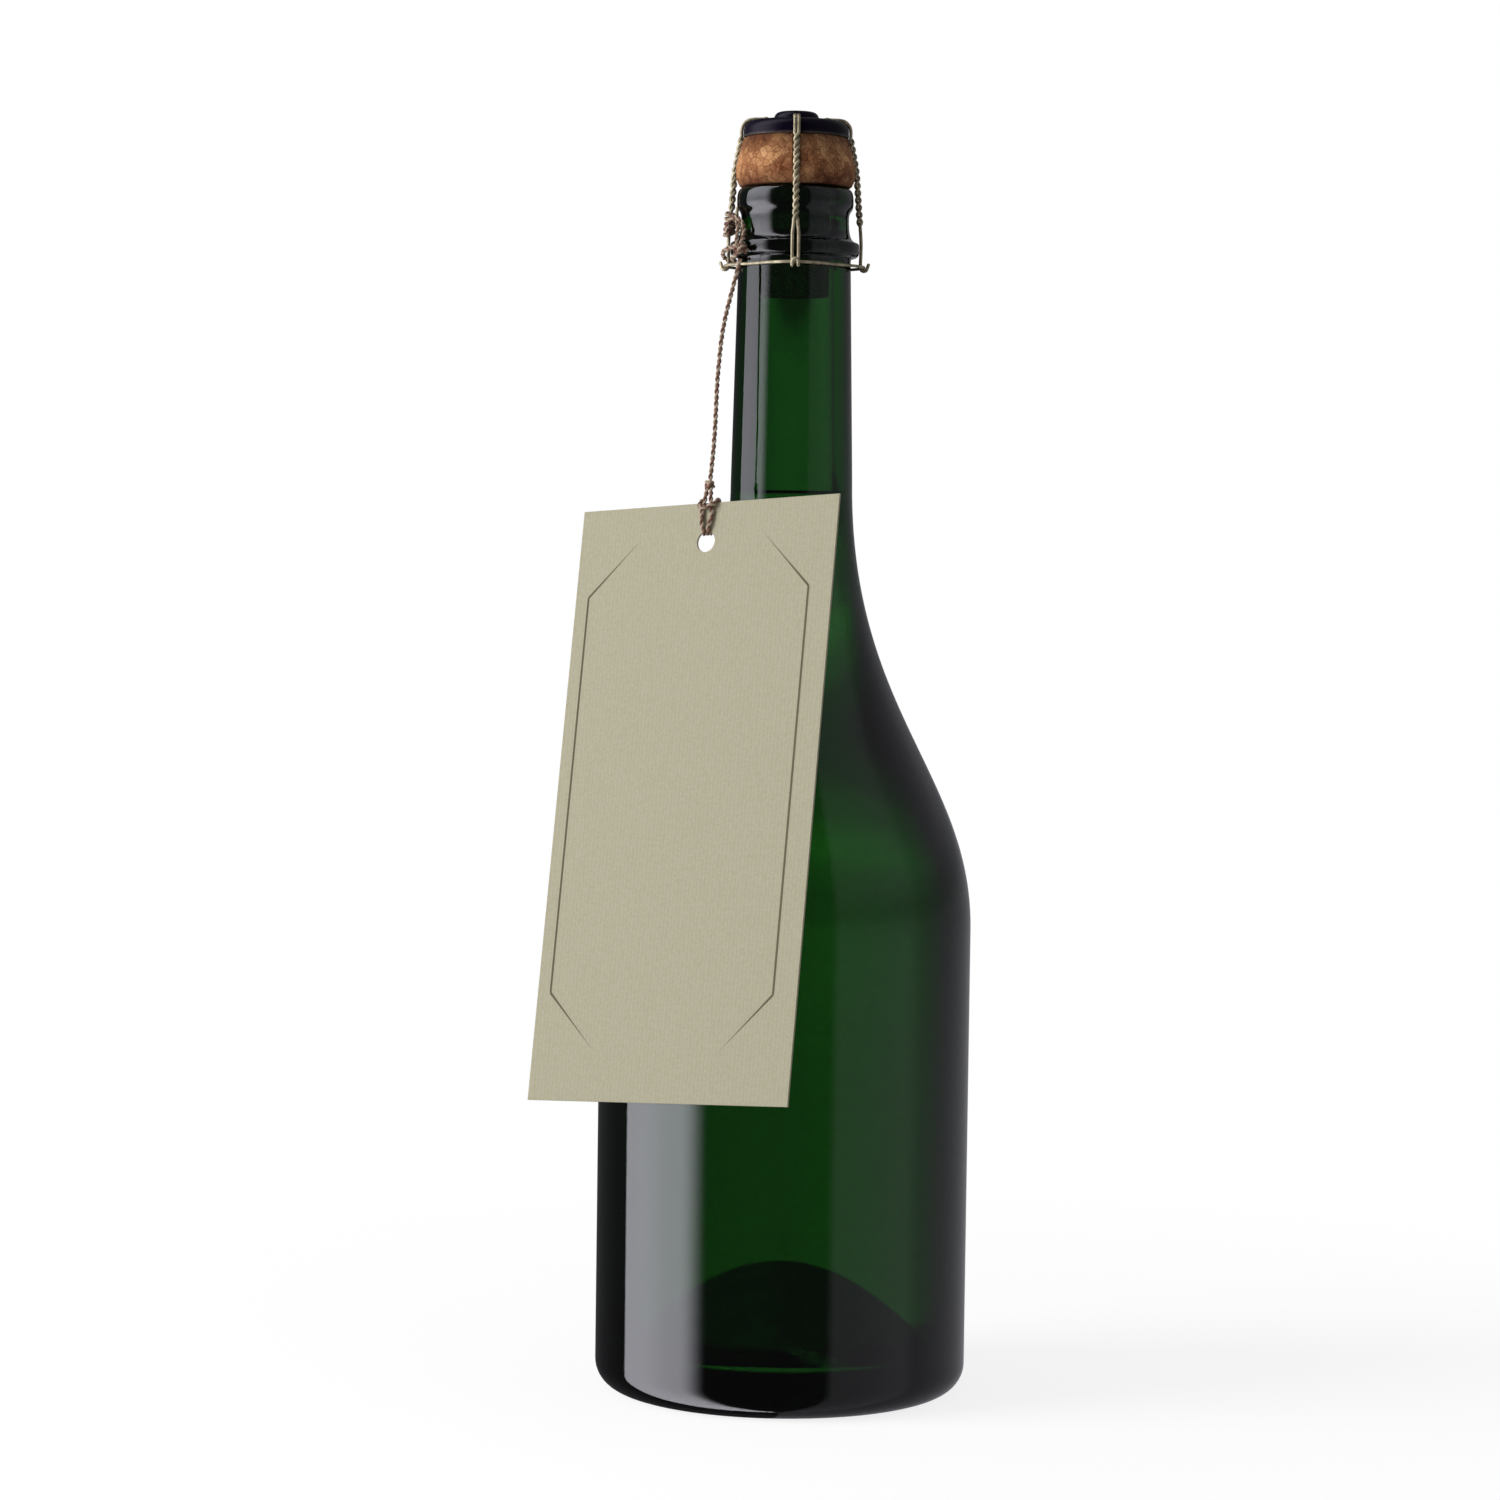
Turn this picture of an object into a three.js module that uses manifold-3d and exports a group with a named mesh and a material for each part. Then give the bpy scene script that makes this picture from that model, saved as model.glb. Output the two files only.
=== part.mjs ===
// A sealed sparkling wine bottle: green glass, wine, mushroom cork, twisted wire cage and a card tag on twine.
// Millimetres, +Z up, origin at the centre of the base. The front of the bottle looks along -Y.
import * as THREE from 'three';
import { mergeVertices } from 'three/addons/utils/BufferGeometryUtils.js';
import Module from 'manifold-3d';

// Fits
const CLEARANCE = 0.3;
const WIRE_GAP = 0.2;
const SWING_GAP = 0.8;

// Glass
const GLASS_HEIGHT = 300;
const BODY_DIAMETER = 92.8;
const BODY_WALL = 5.2;
const HEEL_RADIUS = 7;
const SHOULDER_HEIGHT = 116;
const SHOULDER_ROUND = 39;
const SHOULDER_SWEEP = 58;
const NECK_BASE_HEIGHT = 228;
const NECK_BASE_DIAMETER = 30.3;
const NECK_TOP_DIAMETER = 28;
const BORE_BASE_DIAMETER = 20.6;
const BORE_MOUTH_DIAMETER = 17.8;
const PUNT_DEPTH = 27;
const PUNT_DIAMETER = 66;
const BASE_THICKNESS = 7;
const INNER_HEEL_RADIUS = 9;
const INNER_HEEL_HEIGHT = 9;

// Pulls on the curves of punt and floor, as shares of their radius or depth
const PUNT_CROWN_PULL = 0.5;
const PUNT_FLANK_PULL = 0.8;
const PUNT_FLANK_RISE = 0.35;
const FLOOR_FLANK_PULL = 0.86;
const FLOOR_CROWN_PULL = 0.53;
const FLOOR_CROWN_INSET = 1.6;

// Crown finish, with drops counted down from the mouth
const MOUTH_DIAMETER = 25.8;
const LIP_DIAMETER = 29;
const LIP_DROP = 3.8;
const GROOVE_DIAMETER = 26.8;
const GROOVE_DROP = 7.2;
const RING_DIAMETER = 32;
const RING_TOP_DROP = 13.4;
const RING_BOTTOM_DROP = 17;
const RING_FILLET = 1.1;
const RING_SWEEP = 2;

// Wine
const FILL_DROP = 76;

// Cork
const CORK_DEPTH = 27;
const CORK_DISC_THICKNESS = 5.5;
const CORK_HEAD_DIAMETER = 29.2;
const CORK_HEAD_WIDEST = 4.2;
const CORK_HEAD_FOOT_DIAMETER = 26.4;
const CORK_HEAD_TOP_DIAMETER = 26.2;
const CORK_FOOT_TUCK = 0.5;
const CORK_BULGE_BELOW = 0.8;
const CORK_BULGE_ABOVE = 1.6;
const DENT_LEAD = 0.03;
const DENT_SHARE = 0.75;

// Cap
const CAP_TOP_HEIGHT = 16.6;
const CAP_DIAMETER = 26.2;
const CAP_SKIRT = 4;
const CAP_EDGE_RADIUS = 2.4;
const CAP_SHEET = 0.4;
const BOSS_DIAMETER = 10.8;
const BOSS_TOP_DIAMETER = 8.6;
const BOSS_HEIGHT = 2.4;
const BOSS_SHOULDER = 0.72;
const BOSS_BULGE = 0.2;
const BOSS_FILLET = 0.4;

// Cage wires
const LEG_WIRE = 0.7;
const LEG_SPREAD = 0.6;
const LEG_LAY = 3.6;
const EYE_SPREAD = 0.88;
const EYE_OPENING = 0.08;
const EYE_LENGTH = 10.5;
const WOUND_EYE_LENGTH = 13.9;
const TOP_RING_WIRE = 0.9;
const TOP_RING_DIAMETER = 15.2;
const BELT_WIRE = 0.75;
const BELT_DROP = 19.3;
const BELT_TURN_OUT = 9;
const BELT_END_LENGTH = 1.2;
const KEY_AZIMUTH = 225;
const KEY_LENGTH = 17;
const KEY_BEND = 1;
const KEY_STEM = 3;
const KEY_LEAN = 0.8;
const KEY_UNTWISTED = 2.6;
const KEY_LAY = 3.4;
const KEY_LOOP_WIDTH = 6.4;
const KEY_LOOP_LENGTH = 8;

// Twine
const TWINE_DIAMETER = 1.2;
const WINDING_TURNS = 3.5;
const WINDING_PITCH = 1.75;
const WINDING_LEAD_BOW = 0.9;
const KNOT_CENTRE = [-13.4, -12.2, 284.15];
const KNOT_RADIUS = 1.7;
const CORD_ROUTE = [
  [-13.5, -12.3, 281.55],
  [-14.0, -12.7, 279.2],
  [-14.8, -13.1, 276.0],
  [-15.9, -13.5, 271.6],
  [-17.0, -13.9, 266.8],
  [-17.8, -14.3, 261.8],
  [-18.3, -14.6, 256.6],
  [-18.7, -15.0, 251.2],
  [-18.9, -15.3, 245.6],
  [-19.1, -15.6, 240.0],
  [-19.4, -15.7, 235.0],
  [-19.8, -15.8, 230.4],
  [-20.2, -16.0, 226.2],
];

// Card tag
const TAG_WIDTH = 76;
const TAG_HEIGHT = 148;
const TAG_THICKNESS = 0.6;
const TAG_HOLE_DIAMETER = 5.2;
const TAG_HOLE_DROP = 9.8;
const TAG_YAW = 34.6;
const TAG_LEAN = 12.8;
const TAG_TILT = 3.6;
const TAG_HOLE_SIDE = -20.8;
const TAG_HOLE_HEIGHT = 211.9;

// Hitch of twine in the tag's hole
const HITCH_GAP = 0.46;
const HITCH_RISE = 3.8;
const HITCH_STAND_OFF = 0.9;
const HITCH_LEAF = 0.6;
const HITCH_BIGHT = 2.1;
const HITCH_WAIST = 0.7;
const HITCH_FOOT = 0.4;

// Facets
const ROUND_FACETS = 32;
const WIRE_SIDES = 5;
const TWINE_SIDES = 8;
const LOOP_SIDES = 6;
const LOOP_STEPS = 24;
const TWIST_STEPS = 5;
const BELT_STEPS = 64;
const KEY_STEPS = 68;
const CORD_STEPS = 24;
const HITCH_STEPS = 52;

const wasm = await Module();
wasm.setup();

const MOUTH_Z = GLASS_HEIGHT;
const BODY_RADIUS = BODY_DIAMETER / 2;
const BELT_Z = MOUTH_Z - BELT_DROP;
const LEG_EYE_RADIUS = RING_DIAMETER / 2 + CLEARANCE + LEG_WIRE / 2;
const HOOK_RADIUS = (LEG_WIRE + BELT_WIRE) / 2 + WIRE_GAP;
const BELT_LEG_RADIUS = LEG_EYE_RADIUS + HOOK_RADIUS;
const BELT_NECK_RADIUS = NECK_TOP_DIAMETER / 2 + CLEARANCE + BELT_WIRE / 2;
const CAP_TOP_Z = MOUTH_Z + CAP_TOP_HEIGHT;
const CAP_FOOT_Z = CAP_TOP_Z - CAP_SKIRT;

const part = new THREE.Group();

function finish(color, roughness, metalness) {
  return new THREE.MeshStandardMaterial({ color, roughness, metalness });
}

const GREEN_GLASS = finish('#1c3a1e', 0.05, 0);
const WINE = finish('#d9c27a', 0.1, 0);
const AGGLOMERATE = finish('#b08355', 0.85, 0);
const NATURAL_CORK = finish('#c79a68', 0.85, 0);
const NAVY_LACQUER = finish('#22203a', 0.35, 0.6);
const BRASSED_WIRE = finish('#a89a63', 0.35, 1);
const TWINE = finish('#8a6a52', 0.95, 0);
const CARD = finish('#b2ae96', 0.9, 0);

function addMesh(name, geometry, material, parent = part) {
  const mesh = new THREE.Mesh(geometry, material.clone());
  mesh.name = name;
  parent.add(mesh);
  return mesh;
}

// Curves in the half plane of radius and height

const at = (radius, height) => new THREE.Vector2(radius, height);

function bezier(start, pull, push, end, steps) {
  return new THREE.CubicBezierCurve(start, pull, push, end).getPoints(steps);
}

function arc(centre, radius, fromDegrees, toDegrees, steps) {
  const points = [];
  for (let i = 0; i <= steps; i += 1) {
    const angle = THREE.MathUtils.degToRad(fromDegrees + ((toDegrees - fromDegrees) * i) / steps);
    points.push(at(centre.x + radius * Math.cos(angle), centre.y + radius * Math.sin(angle)));
  }
  return points;
}

function turned(profile) {
  const distinct = profile.filter((p, i) => i === 0 || p.distanceTo(profile[i - 1]) > 1e-3);
  return new THREE.LatheGeometry(distinct, ROUND_FACETS).rotateX(Math.PI / 2);
}

// Tubes along a curve in space

class Route extends THREE.Curve {
  constructor(pointAt) {
    super();
    this.pointAt = pointAt;
    this.arcLengthDivisions = 1200;
  }

  getPoint(t, target = new THREE.Vector3()) {
    return target.copy(this.pointAt(t));
  }
}

function tube(curve, diameter, sides, steps) {
  const section = new THREE.Shape(
    Array.from({ length: sides }, (_, i) => {
      const angle = (2 * Math.PI * i) / sides;
      return at((diameter / 2) * Math.cos(angle), (diameter / 2) * Math.sin(angle));
    }),
  );
  return new THREE.ExtrudeGeometry(section, { steps, bevelEnabled: false, extrudePath: curve });
}

function splineThrough(points) {
  return new THREE.CatmullRomCurve3(
    points.map((p) => new THREE.Vector3(...p)),
    false,
    'centripetal',
  );
}

// Least free gap between stretches of a tube that lie more than a few diameters apart along it
function selfGap(curve, diameter, samples) {
  const points = curve.getSpacedPoints(samples);
  const apart = Math.ceil((2.5 * diameter) / (curve.getLength() / samples));
  let least = Infinity;
  points.forEach((p, i) => {
    points.slice(i + apart).forEach((q) => {
      least = Math.min(least, p.distanceTo(q));
    });
  });
  return least - diameter;
}

// Booleans

function toSolid(geometry) {
  const bare = geometry.clone();
  bare.deleteAttribute('normal');
  bare.deleteAttribute('uv');
  const merged = mergeVertices(bare, 1e-4);
  const index = merged.index.array;
  const kept = [];
  for (let i = 0; i < index.length; i += 3) {
    const [a, b, c] = [index[i], index[i + 1], index[i + 2]];
    if (a !== b && b !== c && c !== a) {
      kept.push(a, b, c);
    }
  }
  const mesh = new wasm.Mesh({
    numProp: 3,
    vertProperties: new Float32Array(merged.attributes.position.array),
    triVerts: new Uint32Array(kept),
  });
  return new wasm.Manifold(mesh);
}

function toGeometry(solid) {
  const mesh = solid.getMesh();
  const geometry = new THREE.BufferGeometry();
  geometry.setAttribute('position', new THREE.BufferAttribute(mesh.vertProperties, 3));
  geometry.setIndex(new THREE.BufferAttribute(mesh.triVerts, 1));
  return geometry;
}

// Glass

function shoulderCurve(bodyRadius, neckRadius, steps) {
  return bezier(
    at(bodyRadius, SHOULDER_HEIGHT),
    at(bodyRadius, SHOULDER_HEIGHT + SHOULDER_ROUND),
    at(neckRadius, NECK_BASE_HEIGHT - SHOULDER_SWEEP),
    at(neckRadius, NECK_BASE_HEIGHT),
    steps,
  );
}

function finishProfile() {
  const ring = RING_DIAMETER / 2;
  const ringTop = MOUTH_Z - RING_TOP_DROP;
  const ringBottom = MOUTH_Z - RING_BOTTOM_DROP;
  const groove = at(GROOVE_DIAMETER / 2, MOUTH_Z - GROOVE_DROP);
  const lip = at(LIP_DIAMETER / 2, MOUTH_Z - LIP_DROP);
  const mouth = at(MOUTH_DIAMETER / 2, MOUTH_Z);
  return [
    at(NECK_TOP_DIAMETER / 2, ringBottom - RING_FILLET),
    at(ring - RING_FILLET, ringBottom),
    at(ring, ringBottom + RING_FILLET),
    at(ring, ringTop - RING_FILLET / 2),
    ...new THREE.QuadraticBezierCurve(
      at(ring - RING_FILLET / 2, ringTop),
      at(groove.x, ringTop + RING_SWEEP),
      groove,
    ).getPoints(3),
    ...bezier(groove, at(groove.x, (groove.y + lip.y) / 2), at(lip.x, (groove.y + lip.y) / 2), lip, 3),
    ...bezier(lip, at(lip.x, (lip.y + mouth.y) / 2), at(lip.x, mouth.y), mouth, 3),
  ];
}

function outerProfile() {
  const punt = PUNT_DIAMETER / 2;
  const heelCentre = at(BODY_RADIUS - HEEL_RADIUS, HEEL_RADIUS);
  const crownPull = at(punt * PUNT_CROWN_PULL, PUNT_DEPTH);
  const flankPull = at(punt * PUNT_FLANK_PULL, PUNT_DEPTH * PUNT_FLANK_RISE);
  return [
    ...bezier(at(0, PUNT_DEPTH), crownPull, flankPull, at(punt, 0), 5),
    ...arc(heelCentre, HEEL_RADIUS, -90, 0, 4),
    ...shoulderCurve(BODY_RADIUS, NECK_BASE_DIAMETER / 2, 12),
    ...finishProfile(),
  ];
}

// The hollow, from the mouth down to the middle of the punt, drawn in on all sides by an inset
function hollowProfile(inset) {
  const mouthBore = BORE_MOUTH_DIAMETER / 2 - inset;
  const baseBore = BORE_BASE_DIAMETER / 2 - inset;
  const punt = BODY_RADIUS - BODY_WALL - INNER_HEEL_RADIUS;
  const heel = INNER_HEEL_RADIUS - inset;
  const floor = INNER_HEEL_HEIGHT + inset;
  const crown = PUNT_DEPTH + BASE_THICKNESS + FLOOR_CROWN_INSET * inset;
  const flankPull = at(punt * FLOOR_FLANK_PULL, floor);
  const crownPull = at(punt * FLOOR_CROWN_PULL, crown);
  return [
    at(mouthBore, MOUTH_Z),
    ...shoulderCurve(punt + heel, baseBore, 10).reverse(),
    ...arc(at(punt, floor + heel), heel, 0, -90, 3),
    ...bezier(at(punt, floor), flankPull, crownPull, at(0, crown), 5),
  ];
}

function glassBottle() {
  return turned([...outerProfile(), ...hollowProfile(0)]);
}

function wineFill() {
  const level = MOUTH_Z - FILL_DROP;
  const wall = hollowProfile(CLEARANCE);
  const first = wall.findIndex((p) => p.y < level);
  const above = wall[first - 1];
  const below = wall[first];
  const share = (level - below.y) / (above.y - below.y);
  const rim = at(below.x + (above.x - below.x) * share, level);
  return turned([...wall.slice(first).reverse(), rim, at(0, level)]);
}

addMesh('glass_bottle', glassBottle(), GREEN_GLASS);
addMesh('wine', wineFill(), WINE);

// Cage legs: one wire bent double, its halves twisted together.
// The bend is left open as an eye and hooked round the belt.

const CAP_RADIUS = CAP_DIAMETER / 2;
const TOP_RING_RADIUS = TOP_RING_DIAMETER / 2;
const TOP_RING_Z = CAP_TOP_Z + CLEARANCE + TOP_RING_WIRE / 2;

function legLine(eyeLength) {
  const lift = CLEARANCE + LEG_WIRE / 2;
  const edge = at(CAP_RADIUS - CAP_EDGE_RADIUS, CAP_TOP_Z - CAP_EDGE_RADIUS);
  const overRing = (TOP_RING_WIRE + LEG_WIRE) / 2 + WIRE_GAP;
  const head = CORK_HEAD_DIAMETER / 2;
  const widest = MOUTH_Z + CORK_HEAD_WIDEST;
  const belt = at(BELT_LEG_RADIUS, BELT_Z);
  const eyeTop = BELT_Z + eyeLength;
  const points = [
    ...arc(at(TOP_RING_RADIUS, TOP_RING_Z), overRing, 180, 60, 4),
    ...arc(edge, CAP_EDGE_RADIUS + lift, 90, 0, 4),
    at(CAP_RADIUS + lift, CAP_FOOT_Z),
    at((CAP_RADIUS + head) / 2 + lift, (CAP_FOOT_Z + widest) / 2),
    at(head + lift, widest),
    at((head + LEG_EYE_RADIUS) / 2 + lift / 2, (widest + eyeTop) / 2),
    at(LEG_EYE_RADIUS, eyeTop),
    at(LEG_EYE_RADIUS, (eyeTop + BELT_Z) / 2),
    ...arc(belt, HOOK_RADIUS, 180, 360, 4),
    at(BELT_LEG_RADIUS + HOOK_RADIUS, BELT_Z + LEG_WIRE / 2),
  ];
  return new THREE.CatmullRomCurve3(
    points.map((p) => new THREE.Vector3(p.x, 0, p.y)),
    false,
    'centripetal',
  );
}

// Follows a middle line down one strand, round the end of the eye and back up the other strand.
// The line lies in the XZ plane, twist gives the turn and spread the half distance of the strands along it.
function doubledWire(line, twist, spread) {
  const sideways = new THREE.Vector3(0, 1, 0);
  const reach = line.getLength();
  const bend = (Math.PI * spread(1)) / 2;
  const whole = 2 * (reach + bend);
  const strand = (u, side) => {
    const tangent = line.getTangentAt(u);
    const across = new THREE.Vector3().crossVectors(tangent, sideways);
    const turn = twist(u);
    const offset = sideways.clone().multiplyScalar(Math.cos(turn)).addScaledVector(across, Math.sin(turn));
    return line.getPointAt(u).addScaledVector(offset, side * spread(u));
  };
  return new Route((t) => {
    const travelled = t * whole;
    if (travelled <= reach) {
      return strand(travelled / reach, 1);
    }
    if (travelled >= whole - reach) {
      return strand((whole - travelled) / reach, -1);
    }
    const angle = ((travelled - reach) / (2 * bend)) * Math.PI;
    const end = line.getPointAt(1);
    const ahead = line.getTangentAt(1).multiplyScalar(spread(1) * Math.sin(angle));
    return end.addScaledVector(sideways, spread(1) * Math.cos(angle)).add(ahead);
  });
}

const ramp = (value, from, to) => THREE.MathUtils.smoothstep(value, from, to);

// Share of a line's length at which it first passes below a height, after the share given
function shareBelow(line, height, after) {
  const samples = 400;
  for (let i = Math.ceil(after * samples); i <= samples; i += 1) {
    if (line.getPointAt(i / samples).z < height) {
      return i / samples;
    }
  }
  return 1;
}

function legWire(eyeLength) {
  const line = legLine(eyeLength);
  const start = shareBelow(line, CAP_FOOT_Z, 0.1);
  const end = shareBelow(line, BELT_Z + eyeLength, start);
  const turns = Math.round((2 * (end - start) * line.getLength()) / LEG_LAY) / 2;
  const twist = (u) => 2 * Math.PI * turns * THREE.MathUtils.clamp((u - start) / (end - start), 0, 1);
  const spread = (u) => LEG_SPREAD + (EYE_SPREAD - LEG_SPREAD) * ramp(u, end, end + EYE_OPENING);
  const steps = 2 * Math.round((TWIST_STEPS * line.getLength()) / LEG_LAY) + TWIST_STEPS;
  return { line, start, end, curve: doubledWire(line, twist, spread), steps };
}

const legs = { front: -90, right: 0, back: 90, left: 180 };
const plainLeg = legWire(EYE_LENGTH);
const woundLeg = legWire(WOUND_EYE_LENGTH);
for (const [side, azimuth] of Object.entries(legs)) {
  const wire = side === 'left' ? woundLeg : plainLeg;
  const mesh = addMesh(`cage_leg_${side}`, tube(wire.curve, LEG_WIRE, WIRE_SIDES, wire.steps), BRASSED_WIRE);
  mesh.rotation.z = THREE.MathUtils.degToRad(azimuth);
}

// Cork, with a dent under each leg where the wire has bitten in

const BORE_RADIUS = BORE_MOUTH_DIAMETER / 2;
const SHANK_RADIUS = BORE_RADIUS - CLEARANCE;
const CORK_FOOT_Z = MOUTH_Z - CORK_DEPTH;
const AGGLOMERATE_FOOT_Z = CORK_FOOT_Z + 2 * CORK_DISC_THICKNESS;

function legDent(line, start, end) {
  const reach = 2 * (LEG_SPREAD + LEG_WIRE / 2 + CLEARANCE);
  const stretch = new Route((t) => line.getPointAt(start + (end - start) * t));
  return tube(stretch, reach / Math.cos(Math.PI / LOOP_SIDES), LOOP_SIDES, LOOP_SIDES);
}

function corkBody() {
  const inset = CAP_SHEET + CLEARANCE;
  const edge = at(CAP_RADIUS - CAP_EDGE_RADIUS, CAP_TOP_Z - CAP_EDGE_RADIUS);
  const shoulder = CAP_FOOT_Z - CLEARANCE;
  const foot = MOUTH_Z + CLEARANCE;
  const widest = MOUTH_Z + CORK_HEAD_WIDEST;
  const head = CORK_HEAD_DIAMETER / 2;
  const profile = [
    at(0, AGGLOMERATE_FOOT_Z),
    at(SHANK_RADIUS, AGGLOMERATE_FOOT_Z),
    at(SHANK_RADIUS, foot),
    at(CORK_HEAD_FOOT_DIAMETER / 2, foot),
    ...bezier(
      at(head - CORK_FOOT_TUCK, (foot + widest) / 2),
      at(head, widest - CORK_BULGE_BELOW),
      at(head, widest + CORK_BULGE_ABOVE),
      at(CORK_HEAD_TOP_DIAMETER / 2, shoulder),
      5,
    ),
    at(CAP_RADIUS - inset, shoulder),
    ...arc(edge, CAP_EDGE_RADIUS - inset, 0, 90, 3),
    at(0, CAP_TOP_Z - inset),
  ];
  let cork = toSolid(turned(profile));
  const { line, start, end } = plainLeg;
  const dent = legDent(line, start - DENT_LEAD, start + (end - start) * DENT_SHARE);
  for (const azimuth of Object.values(legs)) {
    cork = cork.subtract(toSolid(dent.clone().rotateZ(THREE.MathUtils.degToRad(azimuth))));
  }
  return toGeometry(cork);
}

function corkDisc(foot) {
  const top = foot + CORK_DISC_THICKNESS;
  return turned([at(0, foot), at(SHANK_RADIUS, foot), at(SHANK_RADIUS, top), at(0, top)]);
}

addMesh('cork_body', corkBody(), AGGLOMERATE);
addMesh('cork_disc_upper', corkDisc(CORK_FOOT_Z + CORK_DISC_THICKNESS), NATURAL_CORK);
addMesh('cork_disc_lower', corkDisc(CORK_FOOT_Z), NATURAL_CORK);

// Cap: a thin stamped cup with a raised middle, round which the top ring lies

function capSkin(inset) {
  const boss = BOSS_DIAMETER / 2 - inset;
  const bossTop = BOSS_TOP_DIAMETER / 2 - inset;
  const top = CAP_TOP_Z - inset;
  const edge = at(CAP_RADIUS - CAP_EDGE_RADIUS, CAP_TOP_Z - CAP_EDGE_RADIUS);
  return [
    at(0, top + BOSS_HEIGHT),
    at(bossTop, top + BOSS_HEIGHT),
    at((boss + bossTop) / 2 + BOSS_BULGE, top + BOSS_HEIGHT * BOSS_SHOULDER),
    at(boss, top + BOSS_FILLET),
    at(boss + BOSS_FILLET, top),
    ...arc(edge, CAP_EDGE_RADIUS - inset, 90, 0, 3),
    at(CAP_RADIUS - inset, CAP_FOOT_Z),
  ];
}

function cageCap() {
  return turned([...capSkin(CAP_SHEET), ...capSkin(0).reverse()]);
}

function topRing() {
  const section = arc(at(TOP_RING_RADIUS, TOP_RING_Z), TOP_RING_WIRE / 2, 0, 360, LOOP_SIDES);
  section[section.length - 1].copy(section[0]);
  return turned(section);
}

addMesh('cage_cap', cageCap(), NAVY_LACQUER);
addMesh('cage_ring', topRing(), BRASSED_WIRE);

// Belt: hooked by the four eyes, drawn in under the glass ring between them, its two ends turned out at the key

const KEY_ANGLE = THREE.MathUtils.degToRad(KEY_AZIMUTH - 90);
const BELT_END_RADIUS = BELT_LEG_RADIUS - CLEARANCE;

function aroundNeck(angle, radius, sideways, height) {
  const out = new THREE.Vector3(Math.cos(angle), Math.sin(angle), 0);
  const along = new THREE.Vector3(-out.y, out.x, 0);
  return out.multiplyScalar(radius).addScaledVector(along, sideways).setZ(height);
}

function beltWire() {
  const turnOut = THREE.MathUtils.degToRad(BELT_TURN_OUT);
  const points = [];
  for (let i = 0; i <= BELT_STEPS; i += 1) {
    const angle = KEY_ANGLE + turnOut + ((2 * Math.PI - 2 * turnOut) * i) / BELT_STEPS;
    const atLeg = (1 + Math.cos(4 * angle)) / 2;
    points.push(aroundNeck(angle, BELT_NECK_RADIUS + (BELT_LEG_RADIUS - BELT_NECK_RADIUS) * atLeg, 0, BELT_Z));
  }
  for (const radius of [BELT_END_RADIUS - BELT_END_LENGTH, BELT_END_RADIUS]) {
    points.unshift(aroundNeck(KEY_ANGLE, radius, LEG_SPREAD, BELT_Z));
    points.push(aroundNeck(KEY_ANGLE, radius, -LEG_SPREAD, BELT_Z));
  }
  return tube(new THREE.CatmullRomCurve3(points, false, 'centripetal'), BELT_WIRE, WIRE_SIDES, BELT_STEPS);
}

// Key: the belt's ends twisted together and left as a loop, folded up along the neck
function keyWire() {
  const root = BELT_END_RADIUS + SWING_GAP;
  const outer = root + KEY_BEND;
  const top = BELT_Z + KEY_LENGTH;
  const line = splineThrough([
    ...arc(at(root, BELT_Z + KEY_BEND), KEY_BEND, -90, 0, 3).map((p) => [p.x, 0, p.y]),
    [outer, 0, BELT_Z + KEY_STEM],
    [outer - KEY_LEAN / 2, 0, (BELT_Z + top) / 2],
    [outer - KEY_LEAN, 0, top - KEY_LOOP_WIDTH / 2],
  ]);
  const length = line.getLength();
  const start = KEY_UNTWISTED / length;
  const end = 1 - (KEY_LOOP_LENGTH - KEY_LOOP_WIDTH / 2) / length;
  const turns = Math.round((2 * (end - start) * length) / KEY_LAY) / 2;
  const twist = (u) => 2 * Math.PI * turns * THREE.MathUtils.clamp((u - start) / (end - start), 0, 1);
  const spread = (u) => LEG_SPREAD + (KEY_LOOP_WIDTH / 2 - LEG_SPREAD) * ramp(u, end, 1);
  return tube(doubledWire(line, twist, spread), LEG_WIRE, WIRE_SIDES, KEY_STEPS);
}

addMesh('cage_belt', beltWire(), BRASSED_WIRE);
addMesh('twist_loop', keyWire(), BRASSED_WIRE).rotation.z = KEY_ANGLE;

// Twine: wound round the left leg's eye above the glass ring, then led to a knot beside it

const WINDING_SIDE = EYE_SPREAD + LEG_WIRE / 2 + WIRE_GAP + TWINE_DIAMETER / 2;
const WINDING_DEPTH = LEG_WIRE / 2 + WIRE_GAP + TWINE_DIAMETER / 2;

function windingCurve() {
  const top = BELT_Z + WOUND_EYE_LENGTH - TWINE_DIAMETER / 2;
  const loops = LOOP_STEPS * WINDING_TURNS;
  const points = [];
  for (let i = 0; i <= loops; i += 1) {
    const angle = (2 * Math.PI * i) / LOOP_STEPS;
    const outward = WINDING_DEPTH * Math.sin(angle);
    const sideways = WINDING_SIDE * Math.cos(angle);
    points.push([-(LEG_EYE_RADIUS + outward), sideways, top - (WINDING_PITCH * i) / LOOP_STEPS]);
  }
  const knot = new THREE.Vector3(...KNOT_CENTRE);
  const last = new THREE.Vector3(...points[points.length - 1]);
  const out = new THREE.Vector3(knot.x, knot.y, 0).normalize();
  const lead = last.clone().lerp(knot, 0.5).addScaledVector(out, WINDING_LEAD_BOW);
  const arrival = knot.clone().addScaledVector(lead.clone().sub(knot).normalize(), KNOT_RADIUS + CLEARANCE);
  return splineThrough([...points, lead.toArray(), arrival.toArray()]);
}

function knot() {
  return new THREE.SphereGeometry(KNOT_RADIUS, 12, 8).translate(...KNOT_CENTRE);
}

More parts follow.
